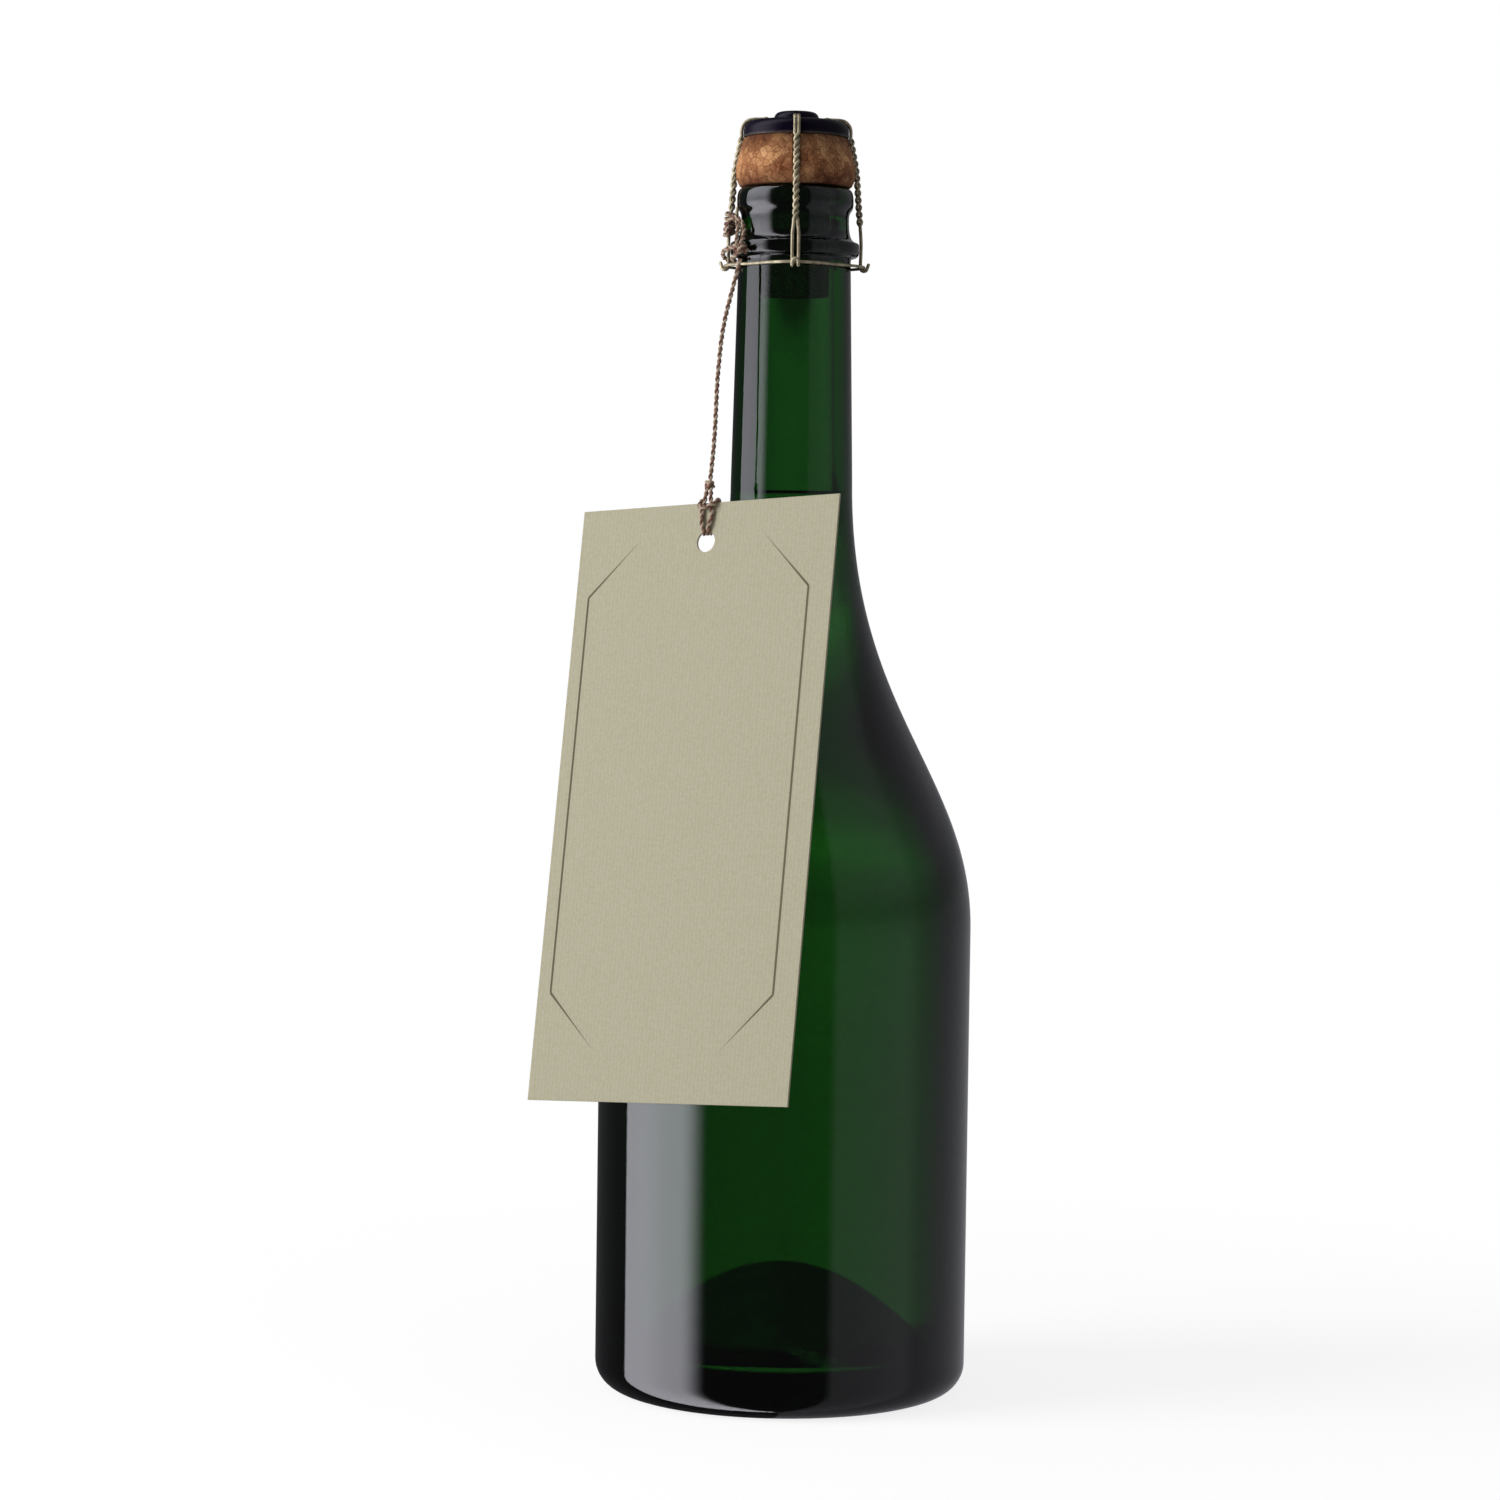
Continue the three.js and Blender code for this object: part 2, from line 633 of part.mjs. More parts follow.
const winding = windingCurve();
console.log(`cord_winding: least gap to itself ${selfGap(winding, TWINE_DIAMETER, 300).toFixed(2)} mm`);
addMesh('cord_winding', tube(winding, TWINE_DIAMETER, LOOP_SIDES, LOOP_STEPS * Math.ceil(WINDING_TURNS)), TWINE);
addMesh('cord_knot', knot(), TWINE);
addMesh('tag_cord', tube(splineThrough(CORD_ROUTE), TWINE_DIAMETER, TWINE_SIDES, CORD_STEPS), TWINE);

// Tag: leans on the shoulder of the glass, its hole at a chosen side and height

function tagFrame() {
  const yaw = THREE.MathUtils.degToRad(TAG_YAW);
  const lean = THREE.MathUtils.degToRad(TAG_LEAN);
  const tilt = THREE.MathUtils.degToRad(TAG_TILT);
  const level = new THREE.Vector3(Math.cos(yaw), -Math.sin(yaw), 0);
  const face = new THREE.Vector3(
    -Math.sin(yaw) * Math.cos(lean),
    -Math.cos(yaw) * Math.cos(lean),
    Math.sin(lean),
  );
  const rise = new THREE.Vector3().crossVectors(face, level);
  const along = level.clone().multiplyScalar(Math.cos(tilt)).addScaledVector(rise, Math.sin(tilt));
  const up = new THREE.Vector3().crossVectors(face, along);
  const shoulder = outerProfile().filter((p) => p.y < NECK_BASE_HEIGHT);
  const reach = Math.max(...shoulder.map((p) => Math.cos(lean) * p.x + Math.sin(lean) * p.y));
  const distance = reach + CLEARANCE + TAG_THICKNESS / 2;
  const depth = (distance - face.x * TAG_HOLE_SIDE - face.z * TAG_HOLE_HEIGHT) / face.y;
  const group = new THREE.Group();
  group.setRotationFromMatrix(new THREE.Matrix4().makeBasis(along, up, face));
  group.position.set(TAG_HOLE_SIDE, depth, TAG_HOLE_HEIGHT);
  return group;
}

function hangTag() {
  const half = TAG_WIDTH / 2;
  const top = TAG_HOLE_DROP;
  const bottom = TAG_HOLE_DROP - TAG_HEIGHT;
  const card = new THREE.Shape([at(-half, bottom), at(half, bottom), at(half, top), at(-half, top)]);
  card.holes.push(new THREE.Path().absarc(0, 0, TAG_HOLE_DIAMETER / 2, 0, 2 * Math.PI, true));
  const sheet = { depth: TAG_THICKNESS, bevelEnabled: false, curveSegments: 24 };
  return new THREE.ExtrudeGeometry(card, sheet).translate(0, 0, -TAG_THICKNESS / 2);
}

// Hitch: both strands pass the hole from the front, and their bight comes over the top edge and round them
function hitchCurve() {
  const skin = TAG_THICKNESS / 2 + CLEARANCE + TWINE_DIAMETER / 2;
  const top = TAG_HOLE_DROP;
  const over = top + CLEARANCE + TWINE_DIAMETER / 2;
  const proud = skin + TWINE_DIAMETER + HITCH_GAP;
  const pair = (TWINE_DIAMETER + HITCH_GAP) / 2;
  const leaf = pair + HITCH_LEAF;
  const bight = pair + HITCH_BIGHT;
  const half = [
    [pair, top + HITCH_RISE, HITCH_STAND_OFF],
    [pair, (top + over + HITCH_RISE) / 2, skin],
    [leaf, top * HITCH_WAIST, skin],
    [leaf, top * HITCH_FOOT, skin],
    [pair, TWINE_DIAMETER, skin],
    [pair, TWINE_DIAMETER / 2, 0],
    [pair, TWINE_DIAMETER, -skin],
    [leaf, top * HITCH_FOOT, -skin],
    [(leaf + bight) / 2, top * HITCH_WAIST, -skin],
    [bight, top, -skin],
    [bight, over, 0],
    [bight, top, skin],
    [(pair + bight) / 2, top - TWINE_DIAMETER, proud],
  ];
  const mirrored = half.map(([side, up, out]) => [-side, up, out]).reverse();
  return splineThrough([...half, [0, top - TWINE_DIAMETER - HITCH_GAP, proud], ...mirrored]);
}

const tag = tagFrame();
part.add(tag);
addMesh('hang_tag', hangTag(), CARD, tag);
const hitch = hitchCurve();
console.log(`tag_loop: least gap to itself ${selfGap(hitch, TWINE_DIAMETER, 400).toFixed(2)} mm`);
addMesh('tag_loop', tube(hitch, TWINE_DIAMETER, LOOP_SIDES, HITCH_STEPS), TWINE, tag);

export default part;
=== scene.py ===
"""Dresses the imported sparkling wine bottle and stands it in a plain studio.

Sizes in the classes are millimetres and meshes are metres. +Z is up, and the photograph looks along +Y.
"""

import logging
import math
from bisect import bisect_right
from collections.abc import Sequence
from dataclasses import dataclass
from enum import Enum

import bmesh
import bpy
from mathutils import Matrix, Vector, noise


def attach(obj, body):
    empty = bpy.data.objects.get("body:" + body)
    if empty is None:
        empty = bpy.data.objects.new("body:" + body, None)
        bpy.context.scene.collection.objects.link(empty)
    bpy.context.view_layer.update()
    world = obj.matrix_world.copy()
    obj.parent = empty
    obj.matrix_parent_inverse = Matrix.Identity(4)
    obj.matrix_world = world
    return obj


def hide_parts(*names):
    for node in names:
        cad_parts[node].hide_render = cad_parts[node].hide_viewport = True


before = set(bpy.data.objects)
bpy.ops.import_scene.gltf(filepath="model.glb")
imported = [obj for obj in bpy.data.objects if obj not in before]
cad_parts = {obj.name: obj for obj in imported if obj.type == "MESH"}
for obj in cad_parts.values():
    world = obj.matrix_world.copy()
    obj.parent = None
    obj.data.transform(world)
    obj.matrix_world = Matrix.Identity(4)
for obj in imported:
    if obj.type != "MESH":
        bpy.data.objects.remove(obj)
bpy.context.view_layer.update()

MM = 0.001
TURN = 2 * math.pi
CLEARANCE = 0.3
CREASE = math.radians(38)
WELD = 1e-7
# A wave texture of scale 1 repeats after this length
WAVE_PERIOD = TURN / 20

Point = tuple[float, float]
Spot = tuple[float, float, float]
Route = tuple[Spot, ...]
Colour = tuple[float, float, float, float]
Stops = Sequence[tuple[float, str | float]]
Shape = bmesh.types.BMesh
Piece = bpy.types.Object
Finish = bpy.types.Material
Tree = bpy.types.NodeTree
Node = bpy.types.Node
Socket = bpy.types.NodeSocket

log = logging.getLogger("bottle")


class Body(Enum):
    """The rigid bodies that pieces ride on."""

    BOTTLE = "bottle"
    CORK = "cork"
    CAGE = "cage"
    KEY = "key"
    CORD = "cord"
    TAG = "tag"


class Slot(Enum):
    """The record's material slots."""

    GLASS = "green_glass"
    WINE = "wine"
    AGGLOMERATE = "agglomerated_cork"
    NATURAL_CORK = "natural_cork"
    TINPLATE = "lacquered_tinplate"
    WIRE = "brassed_wire"
    TWINE = "twine"
    CARD = "card"


class LegSide(Enum):
    """The cage's four legs, with the direction that each stands in, in degrees from +X."""

    FRONT = -90
    RIGHT = 0
    BACK = 90
    LEFT = 180


# Profiles in the half plane of radius and height


def bezier(start: Point, pull: Point, push: Point, end: Point, steps: int) -> list[Point]:
    """Walks a cubic curve.

    Args:
        start: First point.
        pull: Handle of the first point.
        push: Handle of the last point.
        end: Last point.
        steps: Number of chords.

    Returns:
        The points, both ends among them.
    """
    walked = []
    for i in range(steps + 1):
        t = i / steps
        s = 1 - t
        weights = (s**3, 3 * s * s * t, 3 * s * t * t, t**3)
        corners = (start, pull, push, end)
        walked.append(tuple(sum(w * p[k] for w, p in zip(weights, corners)) for k in (0, 1)))
    return walked


def arc(centre: Point, radius: float, first: float, last: float, steps: int) -> list[Point]:
    """Walks part of a circle.

    Args:
        centre: Middle of the circle.
        radius: Its radius.
        first: Angle of the first point, in degrees.
        last: Angle of the last point, in degrees.
        steps: Number of chords.

    Returns:
        The points, both ends among them.
    """
    angles = [math.radians(first + (last - first) * i / steps) for i in range(steps + 1)]
    return [(centre[0] + radius * math.cos(a), centre[1] + radius * math.sin(a)) for a in angles]


def mid(a: Point, b: Point) -> Point:
    """Gives the point halfway between two."""
    return ((a[0] + b[0]) / 2, (a[1] + b[1]) / 2)


def smooth_step(value: float, low: float, high: float) -> float:
    """Eases from 0 at a low value to 1 at a high one."""
    t = min(max((value - low) / (high - low), 0.0), 1.0)
    return t * t * (3 - 2 * t)


# Lines in space


class Line:
    """A line through points, walked by its length."""

    def __init__(self, points: Sequence[Vector]) -> None:
        """Measures the line.

        Args:
            points: The points that it passes, close together.
        """
        self.points = [Vector(p) for p in points]
        self.marks = [0.0]
        for a, b in zip(self.points, self.points[1:]):
            self.marks.append(self.marks[-1] + (b - a).length)

    @classmethod
    def through(cls, points: Sequence[Sequence[float]], per_span: int = 12) -> "Line":
        """Makes a smooth centripetal line through a few points.

        Args:
            points: The points that it passes.
            per_span: Number of chords between two of them.

        Returns:
            The line.
        """
        knots = [Vector(p) for p in points]
        knots = [knots[0] * 2 - knots[1], *knots, knots[-1] * 2 - knots[-2]]
        walked = []
        for p0, p1, p2, p3 in zip(knots, knots[1:], knots[2:], knots[3:]):
            t1 = (p1 - p0).length ** 0.5
            t2 = t1 + (p2 - p1).length ** 0.5
            t3 = t2 + (p3 - p2).length ** 0.5
            for i in range(per_span):
                t = t1 + (t2 - t1) * i / per_span
                a1 = p0.lerp(p1, t / t1)
                a2 = p1.lerp(p2, (t - t1) / (t2 - t1))
                a3 = p2.lerp(p3, (t - t2) / (t3 - t2))
                b1 = a1.lerp(a2, t / t2)
                b2 = a2.lerp(a3, (t - t1) / (t3 - t1))
                walked.append(b1.lerp(b2, (t - t1) / (t2 - t1)))
        return cls([*walked, knots[-2]])

    @property
    def length(self) -> float:
        """The line's length."""
        return self.marks[-1]

    def at(self, share: float) -> Vector:
        """Gives the point at a share of the length.

        Args:
            share: The share, from 0 to 1.

        Returns:
            The point.
        """
        travelled = min(max(share, 0.0), 1.0) * self.length
        i = min(bisect_right(self.marks, travelled), len(self.marks) - 1)
        span = self.marks[i] - self.marks[i - 1]
        return self.points[i - 1].lerp(self.points[i], (travelled - self.marks[i - 1]) / span)

    def tangent(self, share: float) -> Vector:
        """Gives the direction of travel at a share of the length."""
        reach = 0.004
        return (self.at(share + reach) - self.at(share - reach)).normalized()

    def share_below(self, height: float, after: float) -> float:
        """Finds where the line first passes below a height.

        Args:
            height: The height.
            after: Share of the length at which the search starts.

        Returns:
            The share of the length, 1 if it never does.
        """
        samples = 400
        shares = [i / samples for i in range(math.ceil(after * samples), samples + 1)]
        return next((s for s in shares if self.at(s).z < height), 1.0)

    def plies(self, offset: float, lay: float, step: float) -> list[list[Vector]]:
        """Lays two yarns in a helix round the line.

        Args:
            offset: Distance of a yarn's middle from the line.
            lay: Length of one full turn.
            step: Distance between points along the line.

        Returns:
            The points of each yarn.
        """
        count = math.ceil(self.length / step)
        side = self.tangent(0).orthogonal()
        yarns: list[list[Vector]] = [[], []]
        for i in range(count + 1):
            along = self.tangent(i / count)
            side = (side - along * side.dot(along)).normalized()
            turn = TURN * self.length * i / count / lay
            out = side * math.cos(turn) + along.cross(side) * math.sin(turn)
            for yarn, sign in zip(yarns, (1, -1)):
                yarn.append(self.at(i / count) + out * (sign * offset))
        return yarns


# Meshes


def shown(name: str, data: bpy.types.ID) -> Piece:
    """Puts a mesh, curve, lamp or camera in the scene.

    Args:
        name: Name of the object.
        data: What it shows.

    Returns:
        The object, at the origin.
    """
    piece = bpy.data.objects.new(name, data)
    bpy.context.collection.objects.link(piece)
    return piece


def closed_piece(bm: Shape, name: str, finishes: Sequence[Finish], crease: float = CREASE) -> Piece:
    """Merges a shape's seams, turns its faces out, shades it, dresses it and shows it.

    Args:
        bm: The shape, which is used up.
        name: Name of the piece.
        finishes: Its materials.
        crease: Angle from which an edge shows as sharp, in radians.

    Returns:
        The piece.
    """
    bmesh.ops.remove_doubles(bm, verts=bm.verts, dist=WELD)
    bmesh.ops.recalc_face_normals(bm, faces=bm.faces)
    for face in bm.faces:
        face.smooth = True
    for edge in bm.edges:
        edge.smooth = edge.calc_face_angle(0.0) < crease
    mesh = bpy.data.meshes.new(name)
    bm.to_mesh(mesh)
    bm.free()
    for finish in finishes:
        mesh.materials.append(finish)
    return shown(name, mesh)


def turned_shape(profile: Sequence[Point], steps: int) -> Shape:
    """Spins a profile round the Z axis.

    Args:
        profile: Radii and heights in millimetres, from axis to axis or closed on itself.
        steps: Number of faces round the axis.

    Returns:
        The shape.
    """
    bm = bmesh.new()
    corners = [bm.verts.new((r * MM, 0, z * MM)) for r, z in profile]
    geom = corners + [bm.edges.new(pair) for pair in zip(corners, corners[1:])]
    bmesh.ops.spin(bm, geom=geom, cent=(0, 0, 0), axis=(0, 0, 1), angle=TURN, steps=steps, use_merge=True)
    bmesh.ops.remove_doubles(bm, verts=bm.verts, dist=WELD)
    return bm


def swept(name: str, strands: Sequence[Sequence[Vector]], radius: float, finishes: Sequence[Finish]) -> Piece:
    """Draws round strands along lines, as one mesh.

    Args:
        name: Name of the piece.
        strands: Points of each strand, in millimetres.
        radius: Radius of a strand, in millimetres.
        finishes: Material of each strand, repeated as needed.

    Returns:
        The piece.
    """
    curve = bpy.data.curves.new(name, "CURVE")
    curve.dimensions = "3D"
    curve.bevel_depth = radius * MM
    curve.bevel_resolution = 3
    curve.use_fill_caps = True
    for finish in finishes:
        curve.materials.append(finish)
    for number, strand in enumerate(strands):
        spline = curve.splines.new("POLY")
        spline.points.add(len(strand) - 1)
        spline.material_index = number % len(finishes)
        for point, place in zip(spline.points, strand):
            point.co = (*(place * MM), 1)
    draft = shown(name, curve)
    tubes = bpy.data.meshes.new_from_object(draft.evaluated_get(bpy.context.evaluated_depsgraph_get()))
    bm = bmesh.new()
    bm.from_mesh(tubes)
    bpy.data.objects.remove(draft)
    bpy.data.curves.remove(curve)
    bpy.data.meshes.remove(tubes)
    return closed_piece(bm, name, finishes)


def settle(piece: Piece, body: Body, node: str) -> Piece:
    """Rides a piece on its body and the node that it stands for, and reports it.

    Args:
        piece: The piece.
        body: Body that it moves with.
        node: CAD node that it replaces.

    Returns:
        The piece.
    """
    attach(piece, body.value)
    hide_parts(node)
    log.info("%s: %d faces on %s", piece.name, len(piece.data.polygons), body.value)
    return piece


# Materials


def linear(code: str) -> Colour:
    """Turns an sRGB hex colour into linear RGBA."""
    channels = [int(code[i : i + 2], 16) / 255 for i in (1, 3, 5)]
    return (*[c / 12.92 if c <= 0.04045 else ((c + 0.055) / 1.055) ** 2.4 for c in channels], 1.0)


def connect(node: Node, inputs: dict) -> None:
    """Sets a node's sockets.

    Args:
        node: The node.
        inputs: Sockets by name or number, each with an output socket or a value.
    """
    for socket, value in inputs.items():
        if isinstance(value, Socket):
            node.id_data.links.new(value, node.inputs[socket])
        else:
            node.inputs[socket].default_value = value


def add_node(
    tree: Tree,
    kind: str,
    inputs: dict | None = None,
    out: str | int = 0,
    stops: Stops = (),
    **settings: object,
) -> Socket:
    """Adds a node with its settings and links.

    Args:
        tree: Node tree that takes the node.
        kind: Type of the node, without its ShaderNode.
        inputs: Sockets by name or number, each with an output socket or a value.
        out: Name or number of the output that is wanted.
        stops: Places on a colour ramp, each with a hex colour or a grey level.
        settings: Properties of the node.

    Returns:
        The output socket.
    """
    made = tree.nodes.new(f"ShaderNode{kind}")
    for name, value in settings.items():
        setattr(made, name, value)
    for _ in stops[2:]:
        made.color_ramp.elements.new(0.5)
    for number, (place, shade) in enumerate(stops):
        stripe = made.color_ramp.elements[number]
        stripe.position = place
        stripe.color = linear(shade) if isinstance(shade, str) else (shade, shade, shade, 1)
    connect(made, inputs or {})
    return made.outputs[out]


def darkened(tree: Tree, colour: Socket | Colour, *layers: tuple[float, Socket, Stops]) -> Socket:
    """Lays patterns over a colour, each of which darkens it.

    Args:
        tree: Node tree that takes the patterns.
        colour: The colour under them.
        layers: Strength of each pattern, the value that draws it, and its shades by that value.

    Returns:
        The darkened colour.
    """
    for strength, value, stops in layers:
        shade = add_node(tree, "ValToRGB", {"Fac": value}, stops=stops)
        inputs = {0: strength, 6: colour, 7: shade}
        colour = add_node(tree, "Mix", inputs, 2, data_type="RGBA", blend_type="MULTIPLY")
    return colour


def new_surface(name: str) -> tuple[Finish, Tree, Node, Socket]:
    """Starts a material.

    Args:
        name: Name of the real material.

    Returns:
        The material, its node tree, its surface shader and the place on the piece, in metres.
    """
    made = bpy.data.materials.new(name)
    made.use_nodes = True
    tree = made.node_tree
    return made, tree, tree.nodes["Principled BSDF"], add_node(tree, "TexCoord", out="Object")


@dataclass(frozen=True)
class ContainerGlass:
    """Soda-lime container glass, blown in a mould: deep green by absorption, with a faintly wavy skin."""

    tint: str = "#5ab961"
    density: float = 620.0
    ior: float = 1.52
    roughness: float = 0.015
    wave: float = 22.0
    wave_depth: float = 0.012

    def material(self) -> Finish:
        """Builds the material.

        Returns:
            The material.
        """
        made, tree, shader, place = new_surface("soda_lime_glass_green")
        ripple = add_node(tree, "TexNoise", {"Vector": place, "Scale": 1 / (self.wave * MM), "Detail": 1.0})
        skin = add_node(tree, "Bump", {"Height": ripple, "Strength": 0.5, "Distance": self.wave_depth * MM})
        inside = add_node(tree, "VolumeAbsorption", {"Color": linear(self.tint), "Density": self.density})
        connect(shader, {"Base Color": linear("#ffffff"), "Transmission Weight": 1.0, "IOR": self.ior})
        connect(shader, {"Roughness": self.roughness, "Normal": skin})
        connect(tree.nodes["Material Output"], {"Volume": inside})
        return made


@dataclass(frozen=True)
class SparklingWine:
    """White sparkling wine: clear, with a pale gold body."""

    tint: str = "#e8efb8"
    density: float = 14.0
    ior: float = 1.34

    def material(self) -> Finish:
        """Builds the material.

        Returns:
            The material.
        """
        made, tree, shader, _ = new_surface("white_sparkling_wine")
        inside = add_node(tree, "VolumeAbsorption", {"Color": linear(self.tint), "Density": self.density})
        connect(shader, {"Base Color": linear("#ffffff"), "Transmission Weight": 1.0, "IOR": self.ior})
        connect(shader, {"Roughness": 0.0})
        connect(tree.nodes["Material Output"], {"Volume": inside})
        return made


@dataclass(frozen=True)
class AgglomeratedCork:
    """Ground cork granules, glued and moulded: mixed browns with dark joints, a dry, pitted skin, and painted
    shade towards the head's foot and top.
    """

    granule: float = 1.8
    warp: float = 1.6
    drift: float = 0.9
    patch: float = 9.0
    pit: float = 0.5
    pit_depth: float = 0.35
    roughness: float = 0.82
    browns: Stops = ((0.0, "#a3714c"), (0.3, "#ba855b"), (0.65, "#ca9668"), (1.0, "#d7a678"))
    stains: Stops = ((0.38, "#94604a"), (0.58, "#ffffff"))
    seams: Stops = ((0.0, "#8a5f45"), (0.12, "#ffffff"))
    specks: Stops = ((0.33, "#6b4630"), (0.46, "#ffffff"))
    # Painted shade: the head is darker towards its foot and its top, where it rounds away from the light
    painted_shade_by_height: Stops = ((0.0, "#b5b0ac"), (0.3, "#ffffff"), (0.55, "#ffffff"), (1.0, "#aaa6a1"))

    def material(self, foot: float, top: float) -> Finish:
        """Builds the material.

        Args:
            foot: Height of the head's foot.
            top: Height at which the cap hides the head.

        Returns:
            The material.
        """
        made, tree, shader, place = new_surface("agglomerated_cork")
        bends = {"Vector": place, "Scale": 1 / (self.warp * MM), "Detail": 3.0}
        warp = add_node(tree, "TexNoise", bends, "Color")
        drift = add_node(tree, "VectorMath", {0: warp, "Scale": self.drift * MM}, operation="SCALE")
        crooked = add_node(tree, "VectorMath", {0: place, 1: drift}, operation="ADD")
        cells = {"Vector": crooked, "Scale": 1 / (self.granule * MM)}
        grains = add_node(tree, "TexVoronoi", cells, "Color")
        joints = add_node(tree, "TexVoronoi", cells, "Distance", feature="DISTANCE_TO_EDGE")
        shade = add_node(tree, "SeparateColor", {"Color": grains}, "Red")
        browns = add_node(tree, "ValToRGB", {"Fac": shade}, stops=self.browns)
        stain = add_node(tree, "TexNoise", {"Vector": place, "Scale": 1 / (self.patch * MM), "Detail": 4.0})
        pits = add_node(tree, "TexNoise", {"Vector": place, "Scale": 1 / (self.pit * MM), "Detail": 5.0})
        rise = add_node(tree, "SeparateXYZ", {"Vector": place}, "Z")
        share = add_node(tree, "MapRange", {"Value": rise, "From Min": foot * MM, "From Max": top * MM})
        colour = darkened(
            tree,
            browns,
            (0.75, stain, self.stains),
            (0.5, joints, self.seams),
            (0.6, pits, self.specks),
            # Painted shade by height, darker at the head's foot and top
            (1.0, share, self.painted_shade_by_height),
        )
        relief = add_node(tree, "Math", {0: joints, 1: pits}, operation="MULTIPLY")
        skin = add_node(tree, "Bump", {"Height": relief, "Strength": 0.7, "Distance": self.pit_depth * MM})
        connect(shader, {"Base Color": colour, "Roughness": self.roughness})
        connect(shader, {"Specular IOR Level": 0.3, "Normal": skin})
        return made


@dataclass(frozen=True)
class NaturalCork:
    """Punched natural cork: pale tan, with growth rings and dark pores along the grain."""

    ring: float = 2.8
    pore: float = 0.7
    roughness: float = 0.8
    tans: Stops = ((0.0, "#a9794f"), (1.0, "#d0a678"))
    pores: Stops = ((0.34, "#5e3d27"), (0.45, "#ffffff"))

    def material(self) -> Finish:
        """Builds the material.

        Returns:
            The material.
        """
        made, tree, shader, place = new_surface("natural_cork")
        rings = {"Vector": place, "Scale": WAVE_PERIOD / (self.ring * MM), "Distortion": 2.5, "Detail": 3.0}
        growth = add_node(tree, "TexWave", rings, "Fac")
        tan = add_node(tree, "ValToRGB", {"Fac": growth}, stops=self.tans)
        pores = add_node(tree, "TexNoise", {"Vector": place, "Scale": 1 / (self.pore * MM), "Detail": 4.0})
        connect(shader, {"Base Color": darkened(tree, tan, (0.8, pores, self.pores))})
        connect(shader, {"Roughness": self.roughness, "Specular IOR Level": 0.3})
        return made


@dataclass(frozen=True)
class LacqueredTinplate:
    """Stamped tinplate with baked lacquer: dark navy, a satin coat, and rubbed metal on the rim."""

    lacquer: str = "#0d0617"
    bare: str = "#8d8579"
    rub: float = 1.4
    rubbed_height: float = 0.7
    rubbed_share: float = 0.55
    gloss: Point = (0.26, 0.46)
    clouds: Stops = ((0.3, "#d8d4dc"), (0.7, "#ffffff"))

    def material(self, rim: float) -> Finish:
        """Builds the material.

        Args:
            rim: Height of the cap's rim.

        Returns:
            The material.
        """
        made, tree, shader, place = new_surface("lacquered_tinplate")
        rub = add_node(tree, "TexNoise", {"Vector": place, "Scale": 1 / (self.rub * MM), "Detail": 5.0})
        rise = add_node(tree, "SeparateXYZ", {"Vector": place}, "Z")
        band = {"From Min": rim * MM, "From Max": (rim + self.rubbed_height) * MM}
        share = {"To Min": self.rubbed_share, "To Max": 0.0}
        low = add_node(tree, "MapRange", {"Value": rise, **band, **share})
        worn = add_node(tree, "Math", {0: low, 1: rub}, operation="MULTIPLY")
        layers = {0: worn, 6: linear(self.lacquer), 7: linear(self.bare)}
        coat = add_node(tree, "Mix", layers, 2, data_type="RGBA")
        span = {"To Min": self.gloss[0], "To Max": self.gloss[1]}
        connect(shader, {"Base Color": darkened(tree, coat, (0.5, rub, self.clouds))})
        connect(shader, {"Roughness": add_node(tree, "MapRange", {"Value": rub, **span})})
        connect(shader, {"Metallic": 0.05, "Specular IOR Level": 0.11})
        return made


@dataclass(frozen=True)
class BrassedWire:
    """Steel wire with a thin lacquered brass wash: dull gold with grey, handled spots."""

    spot: float = 1.8
    gloss: Point = (0.64, 0.42)
    wash: Stops = ((0.36, "#92886f"), (0.6, "#bdb295"))

    def material(self) -> Finish:
        """Builds the material.

        Returns:
            The material.
        """
        made, tree, shader, place = new_surface("brassed_steel_wire")
        spots = add_node(tree, "TexNoise", {"Vector": place, "Scale": 1 / (self.spot * MM), "Detail": 4.0})
        wash = add_node(tree, "ValToRGB", {"Fac": spots}, stops=self.wash)
        span = {"To Min": self.gloss[0], "To Max": self.gloss[1]}
        gloss = add_node(tree, "MapRange", {"Value": spots, **span})
        connect(shader, {"Base Color": wash, "Roughness": gloss, "Metallic": 0.6})
        return made


@dataclass(frozen=True)
class Yarn:
    """Spun bast yarn: matte, with loose fibres that break its colour into fine streaks."""

    name: str
    dark: str
    light: str
    # Real fibres are finer, and are drawn this coarse to show
    fibre: float = 0.16
    fuzz: float = 0.12

    def material(self) -> Finish:
        """Builds the material.

        Returns:
            The material.
        """
        made, tree, shader, place = new_surface(self.name)
        fibres = add_node(tree, "TexNoise", {"Vector": place, "Scale": 1 / (self.fibre * MM), "Detail": 3.0})
        streaks = add_node(tree, "ValToRGB", {"Fac": fibres}, stops=((0.3, self.dark), (0.7, self.light)))
        fuzz = add_node(tree, "Bump", {"Height": fibres, "Strength": 0.8, "Distance": self.fuzz * MM})
        connect(shader, {"Base Color": streaks, "Normal": fuzz})
        connect(shader, {"Roughness": 0.95, "Specular IOR Level": 0.15, "Sheen Weight": 0.25})
        return made


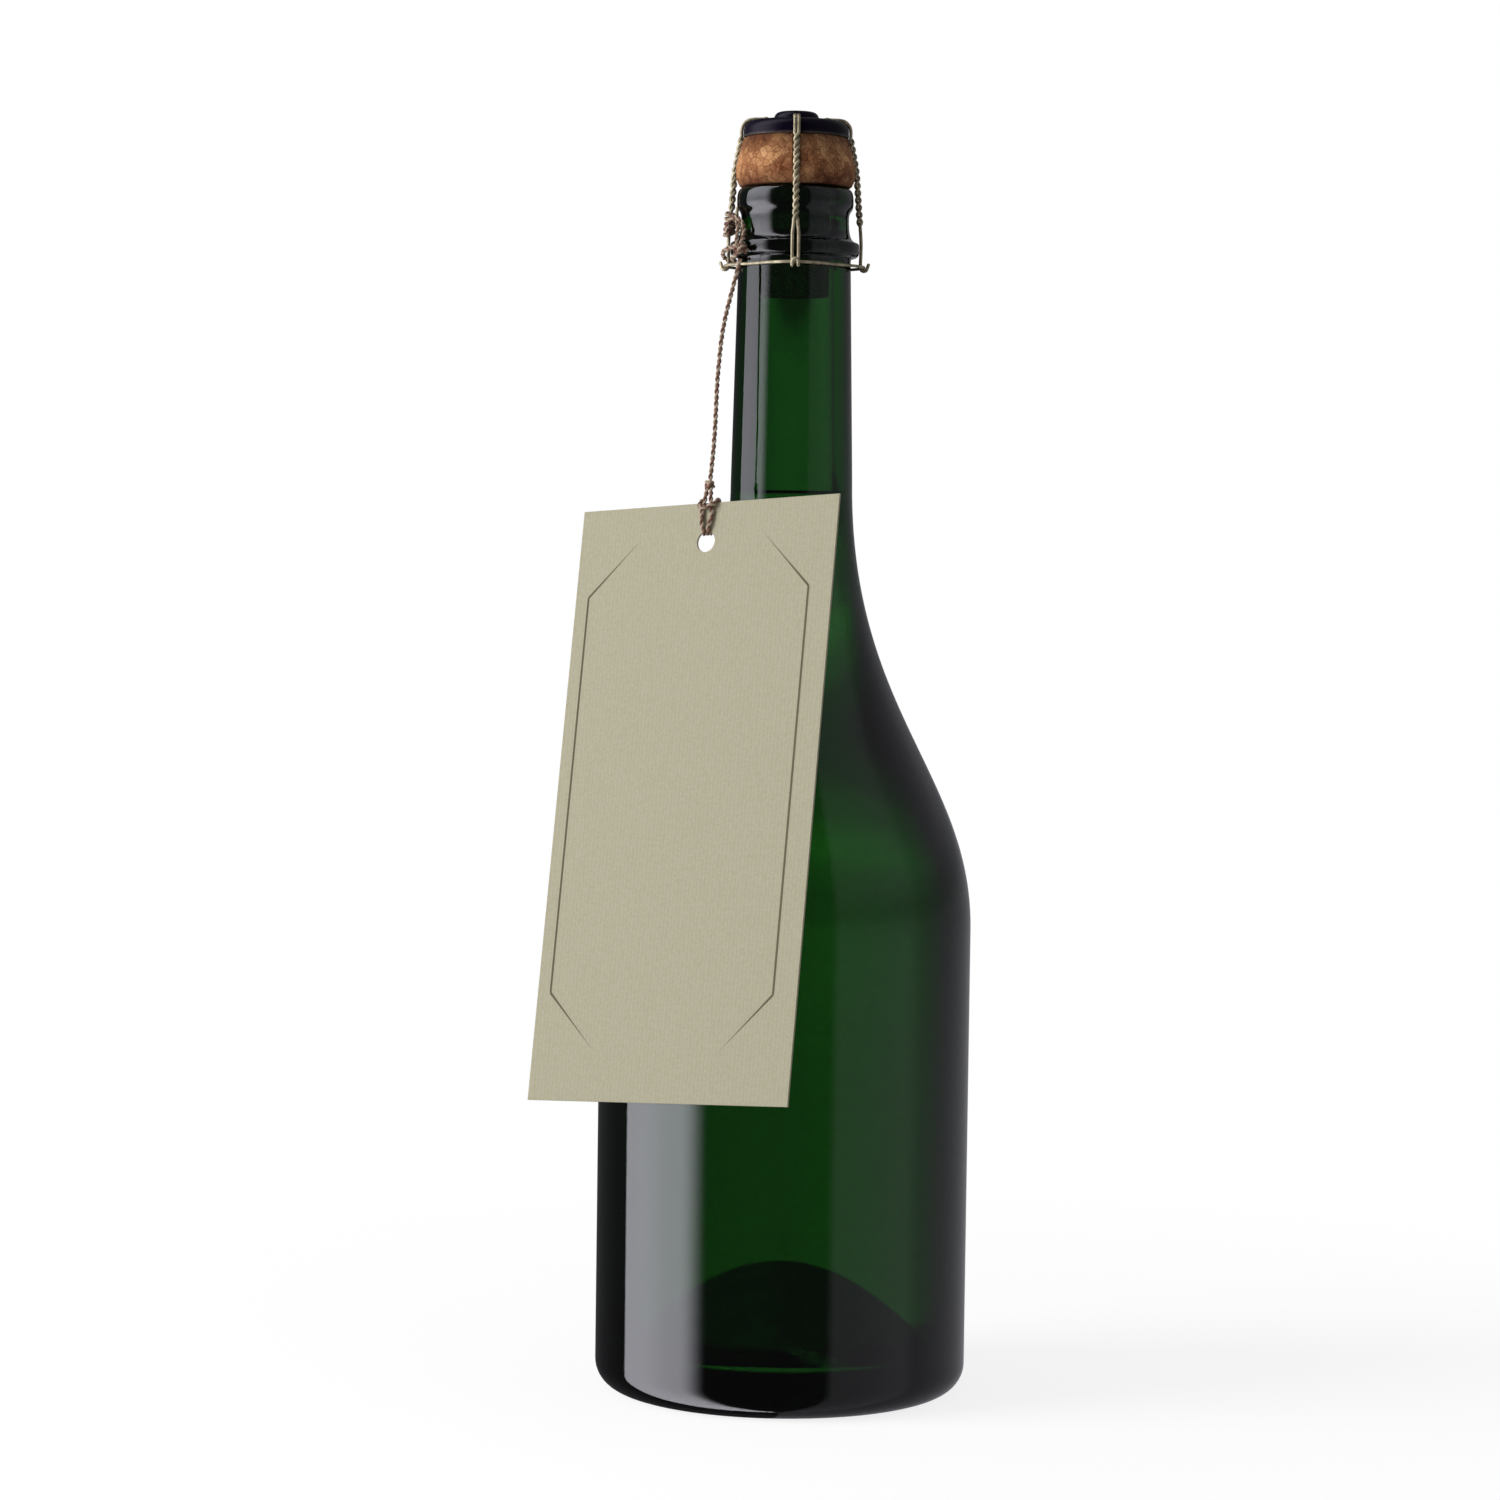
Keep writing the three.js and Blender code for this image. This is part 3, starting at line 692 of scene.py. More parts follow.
@dataclass(frozen=True)
class UncoatedCard:
    """Uncoated laid card: khaki cream, matte, with faint laid lines, fibres and a printed line frame."""

    paper: str = "#b4b09b"
    ink: str = "#4f4634"
    ink_cover: float = 0.86
    laid: float = 1.1
    # Real fibres are finer, and are drawn this coarse to show
    fibre: float = 0.625
    tooth: float = 0.05
    laid_tones: Stops = ((0.0, "#faf9f6"), (1.0, "#ffffff"))
    mottle: Stops = ((0.35, "#f4f2ec"), (0.6, "#ffffff"))
    frame_centre: Point = (-1.4, 2.0)
    frame_half: Point = (32.7, 49.6)
    frame_tip: Point = (18.0, 63.9)
    stroke: float = 0.62
    front: float = 0.2

    def material(self, hole: Vector, turn: Matrix, middle: float) -> Finish:
        """Builds the material.

        Args:
            hole: Middle of the card's hole, in metres.
            turn: Rotation of the card.
            middle: Height of the card's middle above its hole, in millimetres.

        Returns:
            The material.
        """
        made, tree, shader, place = new_surface("uncoated_laid_card")
        pose = {"Location": hole, "Rotation": turn.to_euler(), "Scale": (MM, MM, MM)}
        flat = add_node(tree, "Mapping", {"Vector": place, **pose}, vector_type="TEXTURE")
        waves = {"Vector": flat, "Scale": WAVE_PERIOD / self.laid, "Distortion": 0.8, "Detail": 2.0}
        lines = add_node(tree, "TexWave", waves, "Fac", bands_direction="X")
        fibres = add_node(tree, "TexNoise", {"Vector": flat, "Scale": 1 / self.fibre, "Detail": 5.0})
        layers = ((1.0, lines, self.laid_tones), (0.8, fibres, self.mottle))
        sheet = darkened(tree, linear(self.paper), *layers)
        print_over = {0: self.frame_mask(tree, flat, middle), 6: sheet, 7: linear(self.ink)}
        printed = add_node(tree, "Mix", print_over, 2, data_type="RGBA")
        tooth = add_node(tree, "Bump", {"Height": fibres, "Strength": 0.25, "Distance": self.tooth * MM})
        connect(shader, {"Base Color": printed, "Normal": tooth})
        connect(shader, {"Roughness": 0.88, "Specular IOR Level": 0.25})
        return made

    def frame_mask(self, tree: Tree, flat: Socket, middle: float) -> Socket:
        """Draws two upright lines whose ends turn in at the corners and fade out.

        Args:
            tree: Node tree that takes the print.
            flat: Place on the card from its hole, in millimetres.
            middle: Height of the card's middle above its hole, in millimetres.

        Returns:
            The share of ink.
        """
        shift = (-self.frame_centre[0], -self.frame_centre[1] - middle, 0)
        moved = add_node(tree, "VectorMath", {0: flat, 1: shift}, operation="ADD")
        folded = add_node(tree, "VectorMath", {0: moved}, operation="ABSOLUTE")
        corner = Vector((*self.frame_half, 0))
        tip = Vector((*self.frame_tip, 0))
        run = (tip - corner).normalized()
        across = Vector((run.y, -run.x, 0))
        local = add_node(tree, "VectorMath", {0: folded, 1: corner}, operation="SUBTRACT")
        upright = add_node(tree, "SeparateXYZ", {"Vector": local}).node.outputs
        along = add_node(tree, "VectorMath", {0: local, 1: run}, "Value", operation="DOT_PRODUCT")
        aside = add_node(tree, "VectorMath", {0: local, 1: across}, "Value", operation="DOT_PRODUCT")
        strokes = []
        for distance, place, first, last, fade in (
            (upright["X"], upright["Y"], -2 * corner.y, 0.0, 1.0),
            (aside, along, 0.0, (tip - corner).length, 0.0),
        ):
            reach = {"Value": place, "From Min": first, "From Max": last}
            taper = {"To Min": self.stroke / 2, "To Max": self.stroke / 2 * fade}
            width = add_node(tree, "MapRange", {**reach, **taper}, clamp=True)
            off = add_node(tree, "Math", {0: distance}, operation="ABSOLUTE")
            thin = add_node(tree, "Math", {0: off, 1: width}, operation="LESS_THAN")
            after = add_node(tree, "Math", {0: place, 1: first}, operation="GREATER_THAN")
            before = add_node(tree, "Math", {0: place, 1: last}, operation="LESS_THAN")
            within = add_node(tree, "Math", {0: after, 1: before}, operation="MULTIPLY")
            strokes.append(add_node(tree, "Math", {0: within, 1: thin}, operation="MULTIPLY"))
        either = add_node(tree, "Math", {0: strokes[0], 1: strokes[1]}, operation="MAXIMUM")
        rise = add_node(tree, "SeparateXYZ", {"Vector": flat}, "Z")
        front = add_node(tree, "Math", {0: rise, 1: self.front}, operation="GREATER_THAN")
        ink = add_node(tree, "Math", {0: either, 1: front}, operation="MULTIPLY")
        return add_node(tree, "Math", {0: ink, 1: self.ink_cover}, operation="MULTIPLY")


# Sub-assemblies


@dataclass
class GlassBottle:
    """The green bottle and the wine in it."""

    height: float = 300.0
    body_diameter: float = 92.8
    body_wall: float = 5.2
    heel_radius: float = 7.0
    shoulder_height: float = 116.0
    shoulder_round: float = 39.0
    shoulder_sweep: float = 58.0
    shoulder_chords: int = 48
    inner_shoulder_chords: int = 44
    neck_base_height: float = 228.0
    neck_base_diameter: float = 30.3
    neck_top_diameter: float = 28.0
    bore_base_diameter: float = 20.6
    bore_mouth_diameter: float = 17.8
    bore_edge: float = 0.9
    punt_depth: float = 27.0
    punt_diameter: float = 66.0
    punt_crown: float = 0.5
    punt_flank: Point = (0.8, 0.35)
    base_thickness: float = 7.0
    inner_heel_radius: float = 9.0
    inner_heel_height: float = 9.0
    floor_foot: float = 0.86
    floor_crown: float = 0.53
    floor_inset: float = 1.6
    mouth_diameter: float = 25.8
    lip_diameter: float = 29.0
    lip_drop: float = 3.8
    groove_diameter: float = 26.8
    groove_drop: float = 7.2
    ring_diameter: float = 32.0
    ring_top_drop: float = 13.4
    ring_bottom_drop: float = 17.0
    ring_fillet: float = 1.1
    ring_sweep: float = 2.0
    ring_under: Point = (0.2, 0.3)
    ring_over: Point = (0.4, 0.6)
    fill_drop: float = 76.0
    meniscus: float = 0.9
    meniscus_places: tuple[float, ...] = (0, 0.3, 0.6, 1, 1.5, 2.2, 3.2)
    wetting: float = 0.06
    same_point: float = 0.001
    facets: int = 144
    glass: ContainerGlass = ContainerGlass()
    wine: SparklingWine = SparklingWine()

    def shoulder(self, body_radius: float, neck_radius: float, steps: int) -> list[Point]:
        """Draws the swept curve from body to neck.

        Args:
            body_radius: Radius at the body.
            neck_radius: Radius at the foot of the neck.
            steps: Number of chords.

        Returns:
            The points, from the body upwards.
        """
        return bezier(
            (body_radius, self.shoulder_height),
            (body_radius, self.shoulder_height + self.shoulder_round),
            (neck_radius, self.neck_base_height - self.shoulder_sweep),
            (neck_radius, self.neck_base_height),
            steps,
        )

    def crown_finish(self) -> list[Point]:
        """Draws the glass ring, the groove over it and the rounded lip, up to the bore.

        Returns:
            The points.
        """
        ring = self.ring_diameter / 2
        fillet = self.ring_fillet
        top = self.height - self.ring_top_drop
        bottom = self.height - self.ring_bottom_drop
        neck = self.neck_top_diameter / 2
        under = [(neck, bottom - self.ring_under[1]), (neck + self.ring_under[0], bottom)]
        groove = (self.groove_diameter / 2, self.height - self.groove_drop)
        over = [(groove[0] + self.ring_over[0], top + self.ring_over[1]), (groove[0], top + self.ring_sweep)]
        lip = (self.lip_diameter / 2, self.height - self.lip_drop)
        mouth = (self.mouth_diameter / 2, self.height)
        waist = mid(groove, lip)[1]
        edge = (self.bore_mouth_diameter / 2 + self.bore_edge, self.height - self.bore_edge)
        return [
            *bezier((neck, bottom - fillet), *under, (ring - fillet, bottom), 6),
            *arc((ring - fillet, bottom + fillet), fillet, -90, 0, 6),
            *arc((ring - fillet / 2, top - fillet / 2), fillet / 2, 0, 90, 5),
            *bezier((ring - fillet / 2, top), *over, groove, 10),
            *bezier(groove, (groove[0], waist), (lip[0], waist), lip, 8),
            *bezier(lip, (lip[0], mid(lip, mouth)[1]), (lip[0], mouth[1]), mouth, 8),
            *arc(edge, self.bore_edge, 90, 180, 5),
        ]

    def outside(self, shoulder_steps: int) -> list[Point]:
        """Draws the outside from the middle of the punt to the foot of the neck.

        Args:
            shoulder_steps: Number of chords on the shoulder.

        Returns:
            The points.
        """
        punt = self.punt_diameter / 2
        depth = self.punt_depth
        body = self.body_diameter / 2
        flank = (punt * self.punt_flank[0], depth * self.punt_flank[1])
        return [
            *bezier((0, depth), (punt * self.punt_crown, depth), flank, (punt, 0), 20),
            *arc((body - self.heel_radius, self.heel_radius), self.heel_radius, -90, 0, 12),
            *self.shoulder(body, self.neck_base_diameter / 2, shoulder_steps),
        ]

    def hollow(self, inset: float) -> list[Point]:
        """Draws the hollow from the foot of the neck's bore down to the middle of the floor.

        Args:
            inset: Distance by which it is drawn in on all sides.

        Returns:
            The points.
        """
        bore = self.bore_base_diameter / 2 - inset
        edge = self.body_diameter / 2 - self.body_wall - self.inner_heel_radius
        heel = self.inner_heel_radius - inset
        floor = self.inner_heel_height + inset
        crown = self.punt_depth + self.base_thickness + self.floor_inset * inset
        rising = [(edge * self.floor_foot, floor), (edge * self.floor_crown, crown)]
        return [
            *reversed(self.shoulder(edge + heel, bore, self.inner_shoulder_chords)),
            *arc((edge, floor + heel), heel, 0, -90, 12),
            *bezier((edge, floor), *rising, (0, crown), 20),
        ]

    def build_glass(self) -> None:
        """Spins the glass as one closed wall."""
        profile = [*self.outside(self.shoulder_chords), *self.crown_finish(), *self.hollow(0)]
        pairs = zip(profile, profile[1:])
        distinct = [profile[0], *[q for p, q in pairs if math.dist(p, q) > self.same_point]]
        piece = closed_piece(turned_shape(distinct, self.facets), "bottle_glass", [self.glass.material()])
        settle(piece, Body.BOTTLE, "glass_bottle")

    def build_wine(self) -> None:
        """Spins the wine, which wets the glass and climbs it at its edge."""
        level = self.height - self.fill_drop
        hollow = self.hollow(-self.wetting)
        wall = [p for p in hollow if p[1] < level]
        above = next(p for p in reversed(hollow) if p[1] >= level)
        share = (level - wall[0][1]) / (above[1] - wall[0][1])
        rim = wall[0][0] + (above[0] - wall[0][0]) * share
        rise = self.meniscus
        climb = [(rim - x, level + rise * math.exp(-x / rise)) for x in self.meniscus_places]
        profile = [*reversed(wall), *climb, (0, level)]
        piece = closed_piece(turned_shape(profile, self.facets), "wine_fill", [self.wine.material()])
        settle(piece, Body.BOTTLE, "wine")


@dataclass
class WireCage:
    """The stamped cap, its ring, four twisted legs, the belt under the glass ring and the key."""

    bottle: GlassBottle
    ring_top_drop: float = 13.0
    cork_head: float = 14.6
    cork_widest: float = 4.2
    cap_top: float = 16.6
    cap_radius: float = 13.1
    cap_skirt: float = 4.0
    cap_edge: float = 2.4
    cap_sheet: float = 0.4
    cap_rim: float = 0.25
    cap_groove: float = 0.7
    boss_flat: float = 3.7
    boss_radius: float = 4.9
    boss_slope: float = 0.7
    boss_foot: float = 6.2
    boss_fillet: float = 0.5
    boss_height: float = 2.4
    groove_edge: float = 9.1
    groove_slope: float = 0.4
    wire_diameter: float = 0.84
    leg_spread: float = 0.46
    leg_lay: float = 3.6
    leg_start: float = 0.1
    eye_spread: float = 0.76
    eye_opening: float = 0.08
    eye_length: float = 10.5
    eye_chords: int = 8
    wound_eye_length: float = 13.9
    top_ring_wire: float = 0.9
    top_ring_radius: float = 7.6
    belt_wire: float = 0.75
    belt_drop: float = 19.3
    belt_turn_out: float = 9.0
    belt_end: float = 1.2
    belt_end_spread: float = 0.6
    belt_points: int = 96
    belt_chords: int = 3
    key_azimuth: float = 135.0
    key_length: float = 17.0
    key_bend: float = 1.0
    key_stem: float = 3.0
    key_lean: float = 0.8
    key_untwisted: float = 2.6
    key_lay: float = 3.4
    key_loop_width: float = 5.2
    key_loop_length: float = 8.0
    seat: float = 0.05
    swing_gap: float = 0.8
    step: float = 0.28
    facets: int = 96
    tinplate: LacqueredTinplate = LacqueredTinplate()
    wire: BrassedWire = BrassedWire()

    def __post_init__(self) -> None:
        """Works out the sizes that follow from the others, and the wire's finish."""
        self.mouth = self.bottle.height
        self.cap_z = self.mouth + self.cap_top
        self.cap_foot = self.cap_z - self.cap_skirt
        self.cap_corner = (self.cap_radius - self.cap_edge, self.cap_z - self.cap_edge)
        self.belt_z = self.mouth - self.belt_drop
        self.lift = self.seat + self.wire_diameter / 2
        self.bulge = (self.cork_head + self.lift, self.mouth + self.cork_widest)
        self.ring_touch = (self.bottle.ring_diameter / 2 + self.lift, self.mouth - self.ring_top_drop)
        ring_z = self.cap_z - self.cap_groove + self.seat + self.top_ring_wire / 2
        self.top_ring = (self.top_ring_radius, ring_z)
        self.hook_radius = (self.wire_diameter + self.belt_wire) / 2 + self.seat
        self.belt_leg_radius = self.ring_touch[0] + self.hook_radius
        self.belt_end_radius = self.belt_leg_radius - CLEARANCE
        self.brassed = [self.wire.material()]

    def leg_line(self) -> Line:
        """Draws the middle line of a leg, from the top ring over the cap's edge to the hook round the belt.

        Returns:
            The line, towards +X.
        """
        over = (self.top_ring_wire + self.wire_diameter) / 2 + self.seat
        foot = (self.cap_radius + self.lift, self.cap_foot)
        route = [
            *arc(self.top_ring, over, 180, 60, 4),
            *arc(self.cap_corner, self.cap_edge + self.lift, 90, 0, 4),
            foot,
            mid(foot, self.bulge),
            self.bulge,
            mid(self.bulge, self.ring_touch),
            self.ring_touch,
            mid(self.ring_touch, (self.ring_touch[0], self.belt_z)),
            *arc((self.belt_leg_radius, self.belt_z), self.hook_radius, 180, 360, 4),
        ]
        return Line.through([(r, 0, z) for r, z in route])

    def leg_radius(self, height: float) -> float:
        """Gives a leg's distance from the axis at a height between the cork and the glass ring."""
        share = (self.bulge[1] - height) / (self.bulge[1] - self.ring_touch[1])
        return self.bulge[0] + (self.ring_touch[0] - self.bulge[0]) * share

    def twisted_wire(self, line: Line, twist: Point, lay: float, opened: float, eye: float) -> list[Vector]:
        """Follows a line down one strand, round the end of the eye and back up the other strand.

        Args:
            line: Middle line of the two strands, in the XZ plane.
            twist: Shares of its length at which the twist starts and ends.
            lay: Length of one turn of the twist.
            opened: Share of its length from which the eye is fully open.
            eye: Half width of the open eye.

        Returns:
            The points of the wire.
        """
        start, end = twist
        turns = round(2 * (end - start) * line.length / lay) / 2
        sideways = Vector((0, 1, 0))
        count = math.ceil(line.length / self.step)
        strands: list[list[Vector]] = [[], []]
        for i in range(count + 1):
            share = i / count
            angle = TURN * turns * min(max((share - start) / (end - start), 0), 1)
            spread = self.leg_spread + (eye - self.leg_spread) * smooth_step(share, end, opened)
            across = line.tangent(share).cross(sideways)
            out = sideways * math.cos(angle) + across * math.sin(angle)
            for strand, sign in zip(strands, (1, -1)):
                strand.append(line.at(share) + out * (sign * spread))
        ahead = line.tangent(1)
        bend = [math.pi * k / self.eye_chords for k in range(1, self.eye_chords)]
        tip = [line.at(1) + (sideways * math.cos(a) + ahead * math.sin(a)) * spread for a in bend]
        return [*strands[0], *tip, *reversed(strands[1])]

    def bent(self, name: str, wire: Sequence[Vector], azimuth: float) -> Piece:
        """Sweeps a leg's or the key's wire.

        Args:
            name: Name of the piece.
            wire: Points of the wire, standing towards +X.
            azimuth: Direction that it is turned to, in degrees from +X.

        Returns:
            The piece.
        """
        turn = Matrix.Rotation(math.radians(azimuth), 3, "Z")
        return swept(name, [[turn @ p for p in wire]], self.wire_diameter / 2, self.brassed)

    def build_legs(self) -> None:
        """Twists and bends the four legs."""
        line = self.leg_line()
        start = line.share_below(self.cap_foot, self.leg_start)
        for side in LegSide:
            length = self.wound_eye_length if side is LegSide.LEFT else self.eye_length
            end = line.share_below(self.belt_z + length, start)
            opened = end + self.eye_opening
            wire = self.twisted_wire(line, (start, end), self.leg_lay, opened, self.eye_spread)
            name = side.name.lower()
            piece = self.bent(f"cage_wire_leg_{name}", wire, side.value)
            settle(piece, Body.CAGE, f"cage_leg_{name}")

    def cap_skin(self, inset: float) -> list[Point]:
        """Draws one face of the cap, from its middle to its rim.

        Args:
            inset: Depth of the face under the outer one.

        Returns:
            The points.
        """
        top = self.cap_z - inset
        crest = top + self.boss_height
        foot = self.boss_fillet + inset / 2
        side = self.boss_foot - inset - foot
        floor = top - self.cap_groove
        step = self.groove_edge + self.groove_slope
        slope = (side, crest - self.boss_slope)
        brink = (step + self.groove_slope, top)
        return [
            (0, crest),
            *bezier((self.boss_flat, crest), (self.boss_radius, crest), slope, (side, top), 8),
            *arc((side + foot, floor + foot), foot, 180, 270, 5),
            *bezier((self.groove_edge, floor), (step, floor), (step, top), brink, 6),
            *arc(self.cap_corner, self.cap_edge - inset, 90, 0, 10),
            (self.cap_radius - inset, self.cap_foot + self.cap_rim),
        ]

    def build_cap(self) -> None:
        """Spins the cap as a thin sheet with a rounded rim, and the wire ring round its boss."""
        half = self.cap_sheet / 2
        rim = arc((self.cap_radius - half, self.cap_foot + half), half, 0, -180, 6)
        profile = [*self.cap_skin(0), *rim, *reversed(self.cap_skin(self.cap_sheet))]
        lacquered = [self.tinplate.material(self.cap_foot)]
        cap = closed_piece(turned_shape(profile, self.facets), "cage_cap_plate", lacquered)
        settle(cap, Body.CAGE, "cage_cap")
        section = arc(self.top_ring, self.top_ring_wire / 2, 0, 360, 12)
        ring = closed_piece(turned_shape(section, self.facets), "cage_top_ring", self.brassed)
        settle(ring, Body.CAGE, "cage_ring")

    def round_neck(self, angle: float, radius: float, sideways: float) -> Vector:
        """Places a point on the belt's level.

        Args:
            angle: Direction from the axis, in radians.
            radius: Distance along it.
            sideways: Distance across it.

        Returns:
            The point.
        """
        out = Vector((math.cos(angle), math.sin(angle), 0))
        return out * radius + Vector((-out.y, out.x, 0)) * sideways + Vector((0, 0, self.belt_z))

    def build_belt(self) -> None:
        """Sweeps the belt, which the eyes hold out and the key draws in, and the turn the key bends round."""
        key = math.radians(self.key_azimuth)
        out = math.radians(self.belt_turn_out)
        near = self.bottle.neck_top_diameter / 2 + CLEARANCE + self.belt_wire / 2
        route = []
        for i in range(self.belt_points + 1):
            angle = key + out + (TURN - 2 * out) * i / self.belt_points
            at_leg = (1 + math.cos(len(LegSide) * angle)) / 2
            route.append(self.round_neck(angle, near + (self.belt_leg_radius - near) * at_leg, 0))
        for radius in (self.belt_end_radius - self.belt_end, self.belt_end_radius):
            route.insert(0, self.round_neck(key, radius, self.belt_end_spread))
            route.append(self.round_neck(key, radius, -self.belt_end_spread))
        belt = Line.through(route, self.belt_chords).points
        half = self.belt_end_spread + self.belt_wire / 2
        bend_radius = self.belt_end_radius + self.belt_wire / 2 - self.seat
        cross_turn = [self.round_neck(key, bend_radius, side) for side in (-half, half)]
        piece = swept("cage_belt_wire", [belt, cross_turn], self.belt_wire / 2, self.brassed)
        settle(piece, Body.CAGE, "cage_belt")

    def build_key(self) -> None:
        """Sweeps the key: the twisted ends of the belt with their loop, folded up along the neck."""
        root = self.belt_end_radius + self.swing_gap
        outer = root + self.key_bend
        top = self.belt_z + self.key_length
        half = self.key_loop_width / 2
        route = [
            *arc((root, self.belt_z + self.key_bend), self.key_bend, -90, 0, 3),
            (outer, self.belt_z + self.key_stem),
            (outer - self.key_lean / 2, (self.belt_z + top) / 2),
            (outer - self.key_lean, top - half),
        ]
        line = Line.through([(r, 0, z) for r, z in route])
        start = self.key_untwisted / line.length
        end = 1 - (self.key_loop_length - half) / line.length
        wire = self.twisted_wire(line, (start, end), self.key_lay, 1, half)
        settle(self.bent("cage_key_loop", wire, self.key_azimuth), Body.KEY, "twist_loop")


@dataclass
class MushroomCork:
    """The agglomerated cork with its two natural discs, dented where the legs bite in."""

    cage: WireCage
    depth: float = 27.0
    disc: float = 5.5
    disc_chamfer: float = 0.25
    shank_radius: float = 8.6
    shank_chamfer: float = 0.2
    shank_flare: float = 0.4
    swell: float = 0.45
    flank: float = 0.3
    belly: Point = (0.8, 1.6)
    foot_radius: float = 14.2
    foot_round: float = 0.9
    foot_turn: float = -25.0
    head_top_radius: float = 13.1
    bite: float = 1.02
    bite_start: float = 1.0
    bite_samples: int = 200
    granule: float = 2.3
    granule_depth: float = 0.09
    joint_width: float = 0.25
    lump: float = 3.1
    lump_depth: float = 0.12
    facets: int = 300
    agglomerate: AgglomeratedCork = AgglomeratedCork()
    natural: NaturalCork = NaturalCork()

    def __post_init__(self) -> None:
        """Works out the heights that follow from the mouth and the cap."""
        self.end = self.cage.mouth - self.depth
        self.foot = self.cage.mouth + CLEARANCE
        self.shoulder = self.cage.cap_foot - CLEARANCE

    def head_profile(self) -> list[Point]:
        """Draws the cork from the middle of its glue line over the head to the middle of its top.

        Returns:
            The points.
        """
        cage = self.cage
        shank = self.shank_radius
        head = cage.cork_head + self.swell
        widest = cage.mouth + cage.cork_widest
        inset = cage.cap_sheet + CLEARANCE
        glue = self.end + 2 * self.disc
        flank = (head - self.flank, (self.foot + widest) / 2)
        belly = [(head, widest - self.belly[0]), (head, widest + self.belly[1])]
        edge = (self.foot_radius - self.foot_round, self.foot + self.foot_round)
        under_cap = cage.cap_z - inset - cage.cap_groove
        return [
            (0, glue),
            (shank - self.shank_chamfer, glue),
            (shank, glue + self.shank_chamfer),
            (shank, self.foot - self.shank_flare),
            (shank + self.shank_flare, self.foot),
            *arc(edge, self.foot_round, -90, self.foot_turn, 5),
            *bezier(flank, *belly, (self.head_top_radius, self.shoulder), 44),
            (cage.cap_radius - inset, self.shoulder),
            *arc(cage.cap_corner, cage.cap_edge - inset, 0, 90, 4),
            (cage.groove_edge + cage.groove_slope, under_cap),
            (0, under_cap),
        ]

    def weather(self, bm: Shape) -> None:
        """Presses the legs into the head and roughens it with granules.

        Args:
            bm: The spun cork.
        """
        cage = self.cage
        line = cage.leg_line()
        start = line.share_below(cage.cap_foot + self.bite_start, cage.leg_start)
        shares = [i / self.bite_samples for i in range(self.bite_samples + 1)]
        leg = [line.at(start + (1 - start) * s) for s in shares]
        quarter = TURN / len(LegSide)
        for vert in bm.verts:
            place = vert.co / MM
            spun = math.hypot(place.x, place.y)
            if spun < self.shank_radius + CLEARANCE or place.z > cage.cap_foot:
                continue
            cells = noise.voronoi(place / self.granule)[0]
            radius = spun - self.granule_depth * (1 - smooth_step(cells[1] - cells[0], 0.0, self.joint_width))
            radius += self.lump_depth * noise.noise(place / self.lump)
            pressed = min(leg, key=lambda p: abs(p.z - place.z)).x
            angle = math.atan2(place.y, place.x)
            aside = radius * abs((angle + quarter / 2) % quarter - quarter / 2)
            if aside < self.bite:
                radius = min(radius, pressed - math.sqrt(self.bite**2 - aside**2))
            vert.co.x *= radius / spun
            vert.co.y *= radius / spun

    def build(self) -> None:
        """Spins the cork and its discs."""
        bm = turned_shape(self.head_profile(), self.facets)
        self.weather(bm)
        moulded = [self.agglomerate.material(self.foot, self.shoulder)]
        settle(closed_piece(bm, "cork_mushroom", moulded), Body.CORK, "cork_body")
        punched = [self.natural.material()]
        outer = self.shank_radius
        inner = outer - self.disc_chamfer
        for name, foot in (("lower", self.end), ("upper", self.end + self.disc)):
            top = foot + self.disc
            side = [(outer, foot + self.disc_chamfer), (outer, top - self.disc_chamfer)]
            profile = [(0, foot), (inner, foot), *side, (inner, top), (0, top)]
            piece = closed_piece(turned_shape(profile, self.cage.facets), f"cork_layer_{name}", punched)
            settle(piece, Body.CORK, f"cork_disc_{name}")


